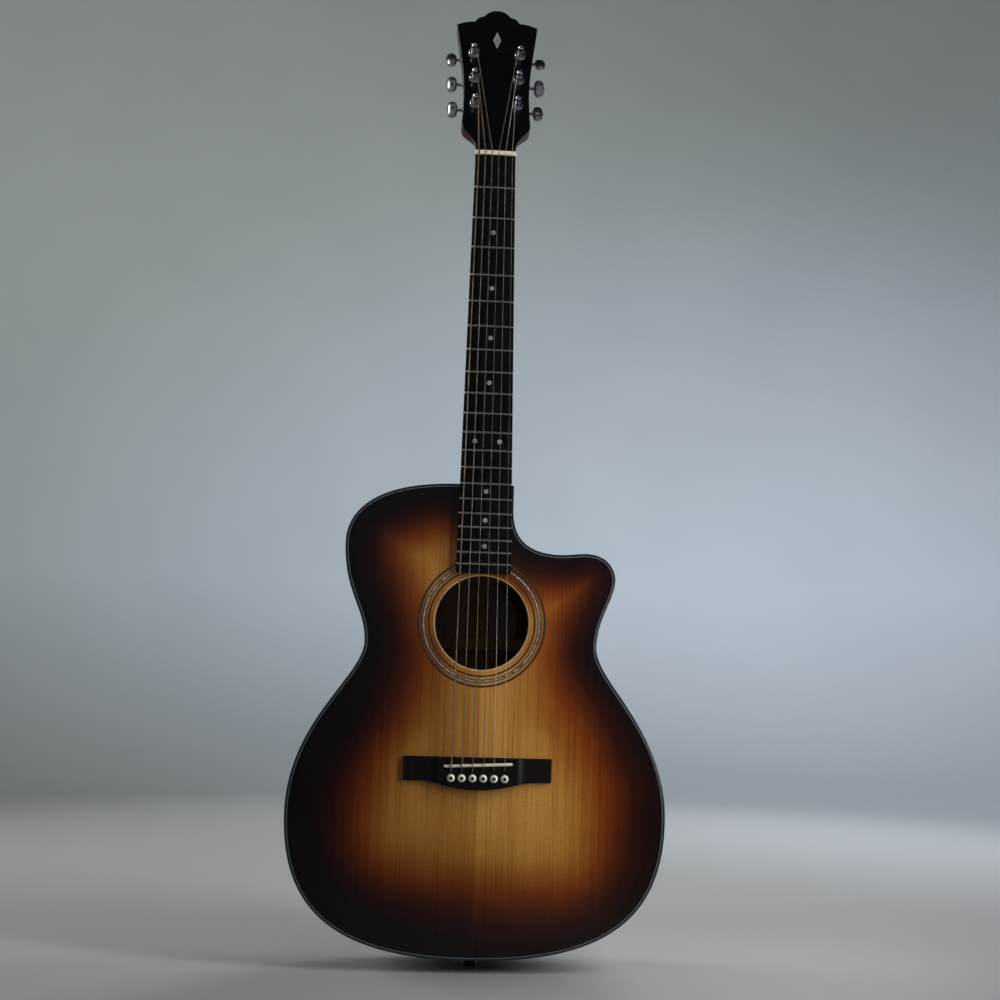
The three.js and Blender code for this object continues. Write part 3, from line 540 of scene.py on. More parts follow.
def spruce_top():
    """Book-matched spruce under a sprayed sunburst and clear lacquer."""
    made = Finish("spruce_top", 0.5, coat=0.5, coat_roughness=0.05, gloss=0.04)
    halves = made.place(mirrored=True)
    across = made.axis(made.place(), 0)
    grain = straight_grain(made, halves, 820, 260, 42)
    silk = made.noise(made.stretched(halves, (130, 130, 1100)), detail=2)
    lines = made.ramp(grain, [(0.36, (208, 176, 132)), (0.5, (246, 232, 205)), (0.64, (255, 250, 236))])
    flecked = made.mix(made.span(silk, 0.4, 0.7, 0, 0.24), lines, (196, 160, 112), "MULTIPLY")

    # the burst follows the distance from the edge, in millimetres, which wanders a little
    wander = made.noise(made.place(9), detail=2)
    edge = made.calc("ADD", made.stored("edge"), made.span(wander, 0.3, 0.7, -7, 7))
    edge = made.calc("ADD", edge, made.span(across, -0.12, 0.12, -10, 6))
    narrower = made.span(made.axis(made.place(), 2), 0.25, 0.42, 1, 1.5)
    edge = made.calc("MULTIPLY", edge, narrower)
    burst = made.ramp(made.span(edge, 0, 150), [
        (0.00, (11, 5, 5)),
        (0.13, (24, 8, 6)),
        (0.24, (46, 15, 8)),
        (0.34, (84, 37, 9)),
        (0.44, (122, 61, 14)),
        (0.55, (150, 97, 39)),
        (0.66, (177, 130, 65)),
        (0.80, (192, 147, 80)),
        (1.00, (199, 154, 90)),
    ])
    # painted shade: the whole bass half is darkened, as if the light fell from the treble side
    shaded_bass_half = made.calc("LESS_THAN", across, 0)
    burst = made.mix(made.calc("MULTIPLY", shaded_bass_half, 0.9), burst, (228, 214, 200), "MULTIPLY")

    colour = made.mix(1, burst, flecked, "MULTIPLY")
    seam = made.calc("LESS_THAN", made.axis(halves, 0), 0.0002)
    made.give("Base Color", made.mix(made.calc("MULTIPLY", seam, 0.45), colour, (60, 36, 18)))
    made.give("Roughness", made.span(grain, 0.3, 0.7, 0.44, 0.34))
    made.bump(grain, 0.05, 0.35)
    return made.material


def plain_spruce(name, dim):
    """Bare, straight-grained wood. dim is how many screen levels darker than new it is, from age and, inside
    the body, painted shade.
    """
    made = Finish(name, 0.72)
    grain = straight_grain(made, made.place(), 700, 240, 40)
    light = made.ramp(grain, [
        (0.34, (176 - dim, 138 - dim, 92 - dim)),
        (0.52, (212 - dim, 180 - dim, 132 - dim)),
        (0.68, (226 - dim, 200 - dim, 156 - dim)),
    ])
    stain = made.noise(made.place(30), detail=4)
    made.give("Base Color", made.mix(made.span(stain, 0.45, 0.8, 0, 0.3), light, (150, 112, 70), "MULTIPLY"))
    made.bump(grain, 0.15, 0.5)
    return made.material


def mahogany(name, dark, mid, light, gloss_coat, vector=None, burst=False):
    """Red-brown wood with long open pores. vector names the places along the grain that a piece keeps."""
    made = Finish(name, 0.45, coat=gloss_coat, gloss=0.12)
    base = made.stored(vector, "Vector") if vector else made.place(mirrored=burst)
    pores = made.noise(made.stretched(base, (900, 900, 26)), detail=2, rough=0.7)
    figure = made.noise(made.stretched(base, (70, 70, 3)), detail=4, rough=0.6, warp=0.6)
    ribbon = made.noise(made.stretched(base, (26, 26, 0.9)), detail=1)
    tint = made.ramp(made.weighed((figure, 0.6), (ribbon, 0.4)), [(0.34, dark), (0.52, mid), (0.68, light)])
    holes = made.span(pores, 0.62, 0.74)
    colour = made.mix(made.calc("MULTIPLY", holes, 0.7), tint, (20, 9, 6))
    made.give("Base Color", burst_and_strip(made, colour) if burst else colour)
    made.give("Roughness", made.span(figure, 0.3, 0.7, 0.46, 0.36))
    made.bump(made.calc("SUBTRACT", 1, holes), 0.06, 0.4)
    return made.material


def burst_and_strip(made, colour):
    """The back's dark burst round its edge, and the chequered strip down its middle."""
    shades = [(0, (70, 50, 50)), (0.35, (150, 120, 110)), (1, (255, 255, 255))]
    colour = made.mix(1, colour, made.ramp(made.span(made.stored("edge"), 0, 90), shades), "MULTIPLY")
    middle = made.axis(made.place(mirrored=True), 0)
    slant = made.calc("ADD", middle, made.axis(made.place(), 2))
    block = made.calc("LESS_THAN", made.calc("FRACT", made.calc("MULTIPLY", slant, 170)), 0.5)
    blocks = made.mix(block, (168, 118, 66), (66, 34, 20))
    colour = made.mix(made.calc("LESS_THAN", middle, 0.0032), colour, (18, 12, 10))
    return made.mix(made.calc("LESS_THAN", middle, 0.0022), colour, blocks)


def rosewood(name, roughness, gloss):
    """Near-black open-grained wood, oiled rather than lacquered."""
    made = Finish(name, roughness, gloss=gloss)
    base = made.place()
    streak = made.noise(made.stretched(base, (260, 260, 5)), detail=4, rough=0.65, warp=0.4)
    pores = made.noise(made.stretched(base, (1400, 1400, 60)), detail=2, rough=0.7)
    tint = made.ramp(streak, [(0.34, (8, 7, 7)), (0.54, (15, 13, 12)), (0.7, (27, 20, 17))])
    holes = made.span(pores, 0.6, 0.72)
    made.give("Base Color", made.mix(made.calc("MULTIPLY", holes, 0.6), tint, (6, 5, 5)))
    made.give("Roughness", made.span(streak, 0.3, 0.7, roughness + 0.08, roughness - 0.1))
    made.bump(made.calc("SUBTRACT", 1, holes), 0.08, 0.5)
    return made.material


def moulded(name, colour, other, roughness, speck=180, subsurface=0.0):
    """Plastic, bone or lacquer: a slightly uneven colour and faint surface waves."""
    made = Finish(name, roughness, coat=0.3)
    cloud = made.noise(made.place(speck), detail=5, rough=0.6)
    made.give("Base Color", made.mix(made.span(cloud, 0.35, 0.7, 0, 0.5), colour, other))
    haze = made.noise(made.place(60), detail=4)
    made.give("Roughness", made.span(haze, 0.3, 0.7, roughness * 0.8, roughness * 1.25))
    made.give("Subsurface Weight", subsurface)
    made.give("Subsurface Scale", 0.002)
    made.bump(cloud, 0.02, 0.25)
    return made.material


def metal(name, colour, other, roughness, brushed=(220, 220, 220), wear=0.35):
    """Plated or bare metal, with faint cloudy wear and hairline marks."""
    made = Finish(name, roughness, metal=1.0)
    cloud = made.noise(made.place(130), detail=4)
    lines = made.noise(made.stretched(made.place(), brushed), detail=3, rough=0.7)
    made.give("Base Color", made.mix(made.span(cloud, 0.45, 0.75, 0, wear), colour, other))
    made.give("Roughness", made.span(lines, 0.3, 0.7, roughness * 0.7, roughness * 1.6))
    made.bump(lines, 0.01, 0.2)
    return made.material


def wound_wire(name, colour, other, pitch):
    """Fine wire wound round a core: close ridges across the string, pitch millimetres apart."""
    made = Finish(name, 0.3, metal=1.0)
    waves = {"Vector": made.place(), "Scale": 0.314 / (pitch * MM)}
    ridge = made.node("TexWave", waves, "Fac", bands_direction="Z", wave_profile="SIN")
    grime = made.noise(made.stretched(made.place(), (300, 300, 30)), detail=3)
    warm = made.mix(made.span(grime, 0.4, 0.75, 0, 0.5), colour, other)
    made.give("Base Color", made.mix(made.span(ridge, 0, 0.5, 0.6, 0), warm, (50, 32, 20)))
    made.give("Roughness", made.span(grime, 0.3, 0.7, 0.24, 0.4))
    made.bump(ridge, 0.08, 0.7)
    return made.material


def pearl(name, cool, warm, dark):
    """Shell inlay: small facets that lie at different angles."""
    made = Finish(name, 0.22, metal=0.25, coat=0.6, coat_roughness=0.05)
    facets = made.node("TexVoronoi", {"Vector": made.place(), "Scale": 330}, "Color")
    swirl = made.noise(made.place(500), detail=3, warp=1.5)
    tint = made.ramp(made.axis(facets, 0), [(0, dark), (0.4, cool), (0.75, (168, 170, 166)), (1, warm)])
    made.give("Base Color", made.mix(made.span(swirl, 0.4, 0.7, 0, 0.45), tint, cool))
    made.bump(swirl, 0.02, 0.3)
    return made.material


SPRUCE_TOP = spruce_top()
SPRUCE_EDGE = plain_spruce("spruce_edge", 18)
# painted shade: the spruce inside the body is darkened by 92 levels so that the soundbox looks dark
SHADED_SPRUCE_INSIDE = plain_spruce("spruce_inside_painted_shade", 92)
SIDE_WOOD = mahogany("mahogany_sides", (44, 19, 12), (70, 32, 19), (94, 46, 27), 0.22, vector="grain")
BACK_WOOD = mahogany("mahogany_back", (58, 25, 14), (92, 43, 24), (122, 62, 34), 0.4, burst=True)
NECK_WOOD = mahogany("mahogany_neck", (34, 15, 10), (52, 24, 15), (70, 34, 21), 0.06)
INNER_WOOD = mahogany("mahogany_inside", (72, 40, 24), (96, 56, 34), (118, 72, 46), 0)
BOARD_WOOD = rosewood("rosewood_fingerboard", 0.55, 0.08)
BRIDGE_WOOD = rosewood("rosewood_bridge", 0.46, 0.16)
BLACK_BINDING = moulded("black_binding", (10, 11, 13), (20, 22, 26), 0.24)
# painted reflection: a pale blue-grey line standing for the light caught on the binding's rounded edge
PAINTED_EDGE_REFLECTION = moulded("painted_edge_reflection", (92, 102, 110), (70, 78, 86), 0.3)
STAINED_LINE = moulded("stained_line", (74, 58, 38), (52, 40, 26), 0.4)
BLACK_LINE = moulded("black_line", (14, 12, 12), (26, 22, 20), 0.35)
BLACK_GLOSS = moulded("black_lacquer", (7, 7, 8), (12, 12, 13), 0.12, speck=40)
BLACK_PLASTIC = moulded("black_plastic", (12, 12, 13), (24, 24, 25), 0.28)
BONE = moulded("bone", (226, 221, 196), (200, 192, 158), 0.34, subsurface=0.1)
PIN_PLASTIC = moulded("pin_plastic", (232, 228, 212), (212, 206, 184), 0.24, subsurface=0.08)
PIN_DOT = moulded("pin_dot", (10, 10, 11), (22, 22, 22), 0.2)
SHELL = pearl("rosette_shell", (150, 150, 142), (224, 214, 192), (78, 80, 76))
DOT_SHELL = pearl("dot_shell", (138, 142, 142), (168, 168, 158), (104, 108, 110))
CHROME = metal("chrome", (214, 217, 222), (180, 184, 190), 0.09, wear=0.3)
SATIN_CHROME = metal("satin_chrome", (196, 198, 200), (160, 163, 168), 0.2, wear=0.3)
FRET_METAL = metal("nickel_silver", (168, 166, 158), (128, 126, 118), 0.3)
STEEL = metal("plain_steel", (206, 202, 198), (168, 164, 160), 0.34, brushed=(300, 300, 20))
ROD_STEEL = metal("rod_steel", (130, 132, 136), (88, 84, 80), 0.4)
BRASS = metal("hex_brass", (190, 150, 82), (130, 96, 50), 0.3)
BRONZE = wound_wire("bronze_wound", (184, 164, 146), (140, 120, 104), 0.32)

# ---------------------------------------------------------------- the body's outline


def body_outline():
    """The body seen from the front, counterclockwise from the middle of the tail."""
    def up(half, height):
        return Vector((half, TAIL_Z + height))

    tail, bout, waist = up(0, 0), up(195.2, 144.2), up(120.8, 318)
    lower = curve(tail, (139.5, 0), bout, (0, -97.2)) + curve(bout, (0, 91.7), waist, (0, -35.9))
    horn, horn_top = up(139.6, 388.7), up(108.1, 416.3)
    floor, neck_side = up(82, 414.3), up(30.1, 460.2)
    corner, shoulder = up(30.1, BODY_LENGTH), up(27, BODY_LENGTH)
    upper, throat = up(144.4, 421.6), up(TENON_GAP_HALF, BODY_LENGTH)
    treble = (
        lower
        + curve(waist, (0, 29.6), horn, (0, -18.2))
        + curve(horn, (0, 11.2), horn_top, (23.9, 0), 2)
        + curve(horn_top, (-9, 0), floor, (9, 0))
        + curve(floor, (-37, 0), neck_side, (0, -29.3), 2)
        + straight(neck_side, corner)
        + straight(corner, throat)
        + [throat]
    )
    bass = (
        lower
        + curve(waist, (0, 35.2), upper, (0, -54.3))
        + curve(upper, (0, 20.3), shoulder, (105, 0))
        + straight(shoulder, throat)
        + [throat]
    )
    return treble, treble + [Vector((-p.x, p.y)) for p in reversed(bass[1:])]


TREBLE_OUTLINE, OUTLINE = body_outline()
TREBLE_END = len(TREBLE_OUTLINE)


def front(x, z, level):
    return Vector((x, TOP_Y - level, z))


def behind(x, z, level):
    return Vector((x, back_y(x, z) + level, z))


def edging(section, place, ids, closed=False, marks=(0,)):
    """A strip along the outline's points ids, with a section of (inset, level) points."""
    loops = [inset(OUTLINE, by) for by, _ in section]
    rings = [[place(loop[i].x, loop[i].y, level) for loop, (_, level) in zip(loops, section)] for i in ids]
    return Shell().loft(rings, caps=not closed, marks=marks)


def rounded_edge(width, height, radius=1.3):
    """A strip's section whose outer front corner is rounded."""
    turns = [math.radians(a) for a in (0, 18, 36, 54, 72, 90)]
    arc = [(radius - radius * math.cos(a), -radius + radius * math.sin(a)) for a in turns]
    return [(0, -height), *arc, (width, 0), (width, -height)]


def make_box():
    """The bindings, the black lines inside the top one with their painted reflection, the sides and the back.
    """
    treble = list(range(TREBLE_END))
    bass = list(range(TREBLE_END, len(OUTLINE)))
    all_round = treble + bass + [0]
    section = rounded_edge(BINDING_WIDTH, BINDING_HEIGHT)
    piece("binding_top", edging(section, front, bass + treble), BLACK_BINDING,
          stands_for=["top_binding"], slot="black_binding")
    piece("binding_back", edging(section, behind, all_round, True), BLACK_BINDING,
          stands_for=["back_binding"], slot="black_binding")

    # black lines round a pale strip, which is a painted reflection of the binding's rounded edge
    lines = [(2.0, 0), (2.35, 0), (3.15, 0), (PURFLING_END, 0), (PURFLING_END, -1.4), (2.0, -1.4)]
    strip = edging(lines, front, all_round, True, [0, 1, 0, 0, 0, 0])
    piece("purfling_and_painted_reflection_top", strip, [BLACK_LINE, PAINTED_EDGE_REFLECTION], slot="rosette_pearl")

    make_side("treble_side", treble)
    make_side("bass_side", bass + [0])

    back = slab(OUTLINE, [(BINDING_WIDTH, 0), (BINDING_WIDTH, -PLATE_THICKNESS)], behind, 7)
    made = piece("back_panel", back, BACK_WOOD, stands_for=["back_plate"], slot="body_mahogany")
    measured(made, "edge", OUTLINE)


def make_side(name, ids):
    """One bent side. The grain runs along it, so each point keeps how far round it lies."""
    steps = 8
    rings, travelled, where = [], 0.0, {}
    inner = inset(OUTLINE, SIDE_THICKNESS)
    for before, i in zip(ids[:1] + ids, ids):
        travelled += (OUTLINE[i] - OUTLINE[before]).length
        ring = []
        for loop, order in ((OUTLINE, range(steps + 1)), (inner, range(steps, -1, -1))):
            x, z = loop[i]
            low, high = TOP_Y + BINDING_HEIGHT, back_y(x, z) - BINDING_HEIGHT
            ring += [Vector((x, lerp(low, high, k / steps), z)) for k in order]
            where[(round(x, 2), round(z, 2))] = travelled
        rings.append(ring)
    side = Shell().loft(rings)
    obj = piece(f"{name}_panel", side, SIDE_WOOD, stands_for=[name], slot="body_mahogany")
    grain = obj.data.attributes.new("grain", "FLOAT_VECTOR", "POINT")
    for vertex in obj.data.vertices:
        key = (round(vertex.co.x / MM, 2), round(vertex.co.z / MM, 2))
        grain.data[vertex.index].vector = (0, vertex.co.y, where.get(key, 0) * MM)


# ---------------------------------------------------------------- soundboard and rosette

# inner and outer radius of each inlaid ring, and its strips: (end radius, finish number)
ROSETTE = {
    "rosette_inner": (54.4, [(55.0, 0), (55.5, 2), (56.2, 0)]),
    "rosette_main": (58.8, [(59.5, 0), (59.8, 2), (61.2, 1), (61.5, 2), (62.2, 0)]),
    "rosette_outer": (64.8, [(65.5, 0), (66.2, 2), (67.0, 0)]),
}
INLAY_DEPTH = 1.2


def make_soundboard():
    """The top with its soundhole, rosette channels and pin holes, and the inlaid rings."""
    steps = []
    for start, strips in reversed(ROSETTE.values()):
        end = strips[-1][0]
        steps += [(end, 0), (end, -INLAY_DEPTH), (start, -INLAY_DEPTH), (start, 0)]
    steps = [(69, 0), *steps, (50.2, 0), (49.4, -0.12), (48.9, -0.45), (HOLE_RADIUS, -1)]
    steps += [(HOLE_RADIUS, -2.4), (49, -PLATE_THICKNESS), (52, -PLATE_THICKNESS)]
    wall = [(PIN_HOLE_RADIUS, 0), (PIN_HOLE_RADIUS, -PLATE_THICKNESS)]
    holes = [(0, HOLE_Z, 128, steps)]
    for i in range(STRING_COUNT):
        holes.append((SADDLE_STRING_HALF * string_part(i), NUT_Z - PIN_HOLE_DOWN, 20, wall))
    top = slab(OUTLINE, [(PURFLING_END, 0), (PURFLING_END, -PLATE_THICKNESS)], front, 4, holes=holes)
    made = piece("spruce_soundboard", top, [SPRUCE_TOP, SPRUCE_EDGE], stands_for=["soundboard"],
                 slot="top_spruce")
    for face in made.data.polygons:
        centre = face.center / MM
        reach = math.hypot(centre.x, centre.z - HOLE_Z)
        if reach < 50 or (face.normal.y > 0.5 and centre.y > TOP_Y + 2.5):
            face.material_index = 1
    measured(made, "edge", OUTLINE)

    for name, (start, strips) in ROSETTE.items():
        ring = [(start, 0)] + [(end, 0) for end, _ in strips]
        ring += [(strips[-1][0], -INLAY_DEPTH), (start, -INLAY_DEPTH)]
        marks = [finish for _, finish in strips] + [0, 0, 0]
        shell = turned(Shell(), ring, lambda u, v, h: front(u, HOLE_Z + v, h), 128, True, marks=marks)
        stands = ["rosette"] if name == "rosette_main" else []
        piece(name, shell, [BLACK_LINE, SHELL, STAINED_LINE], stands_for=stands, slot="rosette_pearl")


# ---------------------------------------------------------------- bridge, saddle and pins


def bridge_outline():
    """The bridge from the front, counterclockwise from the belly's middle on the tail side."""
    foot, crown = NUT_Z - 667, NUT_Z - 642.5
    corner, end = BRIDGE_HALF - 1.5, BRIDGE_HALF
    right = (
        curve((0, NUT_Z - 675.4), (30, 0), (62, foot), (-24, 0), 1.5)
        + straight((62, foot), (corner, foot), 1.5)
        + curve((corner, foot), (0.9, 0), (end, foot + 1.5), (0, -0.9), 0.6)
        + straight((end, foot + 1.5), (end, crown - 1.5), 1.5)
        + curve((end, crown - 1.5), (0, 0.9), (corner, crown), (0.9, 0), 0.6)
        + straight((corner, crown), (0, crown), 1.5)
    )
    left = [Vector((-p.x, p.y)) for p in reversed(right[1:])]
    return right + [Vector((0, crown))] + left


WING_START = 50
BLOCK_END = 41
WING_HEIGHT = 5.2


def bridge_rise(x):
    """A thick middle, a hollow slope down from it and thin wings."""
    reach = abs(x)
    if reach <= BLOCK_END:
        return BRIDGE_HEIGHT
    if reach >= WING_START:
        return lerp(WING_HEIGHT, 3.6, (reach - WING_START) / (BRIDGE_HALF - WING_START))
    fall = (WING_START - reach) / (WING_START - BLOCK_END)
    return WING_HEIGHT + (BRIDGE_HEIGHT - WING_HEIGHT) * fall**2


def on_bridge(x, z, level):
    """A point at a level from the bridge's face, or on the soundboard when level is None."""
    return front(x, z, 0 if level is None else bridge_rise(x) + level)


def make_bridge():
    """The bridge with its slot and pin holes, and then the saddle and the pins in them."""
    edge = [(1.1, 0), (0.7, -0.08), (0.35, -0.3), (0.1, -0.65), (0, -1.1), (0, None)]
    low, high = NUT_Z - 665.5, NUT_Z - 643.7
    creases = [
        [Vector((side * x, lerp(low, high, k / 12))) for k in range(13)]
        for x in (BLOCK_END, 43, 45, 47, WING_START)
        for side in (-1, 1)
    ]
    shell = slab(bridge_outline(), edge, on_bridge, 2.4, lines=creases)
    bridge = piece("bridge_block", shell, BRIDGE_WOOD, stands_for=["bridge"], slot="dark_rosewood", sharp=30)

    turn = Matrix.Rotation(-math.atan2(SADDLE_DOWN_BASS - SADDLE_DOWN_TREBLE, 2 * SADDLE_HALF), 4, "Y")
    middle = Matrix.Translation(at(0, saddle_down(0), 0))

    def slanted(x, y, z):
        return middle @ turn @ Vector((x, y, z))

    cutters = [box_shell((-SADDLE_HALF - 0.2, -14, -1.6), (SADDLE_HALF + 0.2, -3.2, 1.6), slanted)]
    for i in range(STRING_COUNT):
        x = SADDLE_STRING_HALF * string_part(i)
        hole = turned(Shell(), [(2.95, 12), (2.95, -2)], lambda u, v, h: at(x + u, PIN_DOWN + v, h), 24)
        low, high = (x - 0.9, TOP_Y - 12, NUT_Z - PIN_DOWN), (x + 0.9, TOP_Y + 2, NUT_Z - WIRE_DOWN + 1)
        cutters += [hole, box_shell(low, high)]
    carve(bridge, cutters, sharp=30)

    make_saddle(slanted)
    for i in range(STRING_COUNT):
        make_pin(i)


def make_saddle(slanted):
    """A bone strip with a rounded crest and rounded ends, which leans with the bridge's slot."""
    rings = []
    thick = 1.5
    ends = [SADDLE_HALF - thick + thick * math.sin(a) for a in np.linspace(0, math.pi / 2, 9)]
    stations = [-x for x in reversed(ends)] + list(np.linspace(-33, 33, 45)) + ends
    for x in stations:
        tip = math.sqrt(max(0.0, 1 - max(0, (abs(x) - SADDLE_HALF + thick) / thick) ** 2))
        half = max(thick * tip, 0.05)
        crest = SADDLE_STRING_RISE - camber(x) - 0.05 - 1.2 * (1 - tip)
        arc = [(half * math.cos(a), crest - 1.3 + 1.3 * math.sin(a)) for a in np.linspace(0, math.pi, 9)]
        rings.append([slanted(x, -rise, t) for t, rise in [(-half, 3.3), (half, 3.3), *arc]])
    piece("saddle_bone", Shell().loft(rings), BONE, stands_for=["saddle"], slot="bone")


def make_pin(index):
    """A round-headed plug with a dark dot, and a flute for the string along its shank."""
    x = SADDLE_STRING_HALF * string_part(index)
    number = STRING_COUNT - index
    profile = [
        (0.05, -24), (1.7, -24), (2.1, -23), (2.35, -10), (2.6, 0), (3.2, 0.3), (3.9, 0.7), (4.1, 1.5),
        (4.05, 2.3), (3.75, 3.2), (3.1, 4.1), (2.3, 4.65), (1.75, 4.85), (1.7, 4.7), (1.2, 4.8), (0.05, 4.85),
    ]
    marks = [0] * 12 + [1] * 3

    def fluted(angle, radius, step):
        toward = max(0, math.cos(angle - math.pi / 2)) ** 8
        return radius - (0.9 * toward if 1 <= step <= 4 else 0)

    def place(u, v, h):
        return at(x + u, PIN_DOWN - v, BRIDGE_HEIGHT + h)

    shell = turned(Shell(), profile, place, 32, shape=fluted, marks=marks)
    piece(f"pin_{number}_plug", shell, [PIN_PLASTIC, PIN_DOT], f"pin_{number}", [f"bridge_pin_{number}"],
          "pin_plastic")


# ---------------------------------------------------------------- neck, head and fingerboard

HEEL_CAP_Y = back_y(0, JOINT_Z)
HEEL_HEIGHT = HEEL_CAP_Y - 3.3 - TOP_Y


def neck_depth(z):
    """How deep the neck is behind the fingerboard's plane, with the heel's long curve."""
    down = NUT_Z - z
    if down < 0:
        return NECK_DEPTH_AT_NUT + 0.35 * down
    shaft = lerp(NECK_DEPTH_AT_NUT, NECK_DEPTH_AT_BODY, down / 360)
    part = min(max(1 - (z - JOINT_Z) / HEEL_LENGTH, 0), 1)
    return shaft + (HEEL_DEPTH - shaft) * part**HEEL_POWER


def waist_share(depth):
    """The heel narrows with its depth."""
    return 1 - 0.35 * depth / HEEL_HEIGHT


def head_half_outline():
    """Half of the head, from its throat to the middle of its crown, as (across, along)."""
    def quad(a, b, c, spacing):
        a, b, c = Vector(a), Vector(b), Vector(c)
        return curve(a, (b - a) * 2 / 3, c, (b - c) * 2 / 3, spacing)

    return (
        straight((22.1, HEAD_START), (22.2, 12), 2)
        + curve((22.2, 12), (1.2, 7), (35.5, 32.6), (-7.5, -8.6), 2)
        + quad((35.5, 32.6), (37.9, 35.5), (37.7, 42), 1.5)
        + curve((37.7, 42), (-1.5, 16), (36.6, 92), (-0.8, -14), 5)
        + curve((36.6, 92), (0.9, 22), (45.4, 171), (-3.4, -29), 5)
        + quad((45.4, 171), (35.5, 176.3), (25, 176.6), 1.5)
        + quad((25, 176.6), (22.5, 183), (14.8, 184.3), 1.2)
        + quad((14.8, 184.3), (9.5, 192.6), (0, 192.6), 1.2)
        + [Vector((0, 192.6))]
    )


def powered(value, power):
    """A power that keeps the sign. Below one it makes an ellipse squarer."""
    return math.copysign(abs(value) ** power, value)


def neck_ring(origin, back, half, depth, squareness, heel=False):
    """A section that lies from origin towards back, from a D to a slab as squareness rises."""
    power = lerp(1, 0.13, squareness)
    points = []
    for k in range(49):
        angle = math.pi * k / 48
        c, s = math.cos(angle), math.sin(angle)
        deep = depth * abs(s) ** power
        x = half * powered(c, power)
        if heel:
            deep = min(deep, HEEL_HEIGHT)
            x *= waist_share(deep)
        points.append(origin + Vector((x, 0, 0)) + back * deep)
    flat = [points[-1].lerp(points[0], k / 8) for k in range(1, 8)]
    return points + flat


def eased(t):
    """A share from 0 to 1 that starts and stops gently."""
    return t * t * (3 - 2 * t)


def make_neck():
    """One skin from the heel up to the head's crown."""
    rings = []
    back = Vector((0, 1, 0))
    throat_start = NUT_Z - 12
    z = JOINT_Z + 0.3
    while z < throat_start:
        half = max(board_half(NUT_Z - z), BOARD_HALF_AT_NUT)
        rings.append(neck_ring(Vector((0, TOP_Y, z)), back, half, neck_depth(z), 0, True))
        z += 1.5 if z < JOINT_Z + HEEL_LENGTH else 6
    under_veneer = -VENEER_THICKNESS - 0.3
    start = Vector((0, TOP_Y, throat_start))
    first = on_head(0, HEAD_START, under_veneer)
    for k in range(10):
        turn = eased(k / 10)
        rear = back.lerp(-OUT, turn).normalized()
        half = lerp(BOARD_HALF_AT_NUT, HEAD_HALF_AT_NUT, turn)
        depth = lerp(NECK_DEPTH_AT_NUT, HEAD_DEPTH_AT_NUT, turn)
        rings.append(neck_ring(start.lerp(first, k / 10), rear, half, depth, 0.12 * turn))
    outline = head_half_outline()
    throat_end = [p.y for p in outline if p.y <= 34][-1]
    for p in outline:
        turn = eased(min(1, (p.y - HEAD_START) / (throat_end - HEAD_START)))
        origin = on_head(0, p.y, under_veneer)
        depth = lerp(HEAD_DEPTH_AT_NUT, -HEAD_BACK + under_veneer, turn)
        rings.append(neck_ring(origin, -OUT, max(p.x, 0.02), depth, lerp(0.12, 1, turn)))
    neck = piece("neck_shaft", Shell().loft(rings), NECK_WOOD, stands_for=["neck"], slot="neck_mahogany",
                 sharp=40)

    cutters = [
        turned(Shell(), [(POST_HOLE_RADIUS, 10), (POST_HOLE_RADIUS, -40)],
               lambda u, v, h: on_head(x + u, along + v, h), 24)
        for x, along, _ in TUNERS
    ]
    half, floor = ROD_SLOT_HALF, TOP_Y + ROD_SLOT_DEPTH
    cutters.append(box_shell((-half, TOP_Y - 5, JOINT_Z - 10), (half, floor, NUT_Z - 10)))
    carve(neck, cutters, sharp=40)
    tenon = box_shell((-10, TOP_Y + 3.4, JOINT_Z - 18), (10, TOP_Y + 60, JOINT_Z + 3))
    carve(neck, [tenon], "UNION", sharp=40)
    carve(neck, [box_shell((-half, TOP_Y, JOINT_Z - 25), (half, floor, JOINT_Z + 5))], sharp=40)

    make_head_face()
    make_heel_cap()


def make_head_face():
    """The black veneer on the head, with a plain pearl lozenge."""
    half = head_half_outline()
    outline = half + [Vector((-p.x, p.y)) for p in reversed(half[:-1])]
    wall = [(POST_HOLE_RADIUS, 0), (POST_HOLE_RADIUS, -VENEER_THICKNESS)]
    holes = [(x, along, 28, wall) for x, along, _ in TUNERS]
    edge = [(0.5, 0), (0.25, -0.07), (0.07, -0.25), (0, -0.5), (0, -VENEER_THICKNESS)]
    veneer = slab(outline, edge, on_head, 6, holes=holes)
    piece("head_veneer", veneer, BLACK_GLOSS, stands_for=["headstock_veneer"], slot="black_lacquer")
    corners = [Vector((4.5 * x, 152 + 11 * y)) for x, y in ((0, -1), (1, 0), (0, 1), (-1, 0))]
    sides = [straight(a, b, 2) for a, b in zip(corners, corners[1:] + corners[:1])]
    inlay = slab(sum(sides, []), [(0.1, 0.06), (0, 0), (0, -0.6)], on_head, 2)
    piece("head_inlay", inlay, DOT_SHELL, slot="rosette_pearl")


def make_heel_cap():
    """A thin plate whose edge follows the heel where the heel is cut off."""
    def half_at(z):
        share = max(0.0, 1 - (HEEL_HEIGHT / neck_depth(z)) ** 2)
        return max(board_half(NUT_Z - z), BOARD_HALF_AT_NUT) * math.sqrt(share) * waist_share(HEEL_HEIGHT)

    foot = JOINT_Z + 0.3
    cut = (HEEL_HEIGHT - NECK_DEPTH_AT_BODY) / (HEEL_DEPTH - NECK_DEPTH_AT_BODY)
    reach = HEEL_LENGTH * (1 - cut ** (1 / HEEL_POWER)) - 0.4
    right = [Vector((half_at(foot + reach * k / 24), foot + reach * k / 24)) for k in range(25)]
    base = straight((-right[0].x, foot), (right[0].x, foot), 2)
    loop = base + right + [Vector((-p.x, p.y)) for p in reversed(right[1:])]
    edge = [(0.8, 0), (0.4, -0.12), (0.12, -0.4), (0, -0.8), (0, -3.3)]
    plate = slab(loop, edge, lambda x, z, level: Vector((x, HEEL_CAP_Y + level, z)), 2.5)
    piece("heel_cap_plate", plate, BLACK_PLASTIC, stands_for=["heel_cap"], slot="black_plastic")


def board_front(x):
    return BOARD_THICKNESS - camber(x)


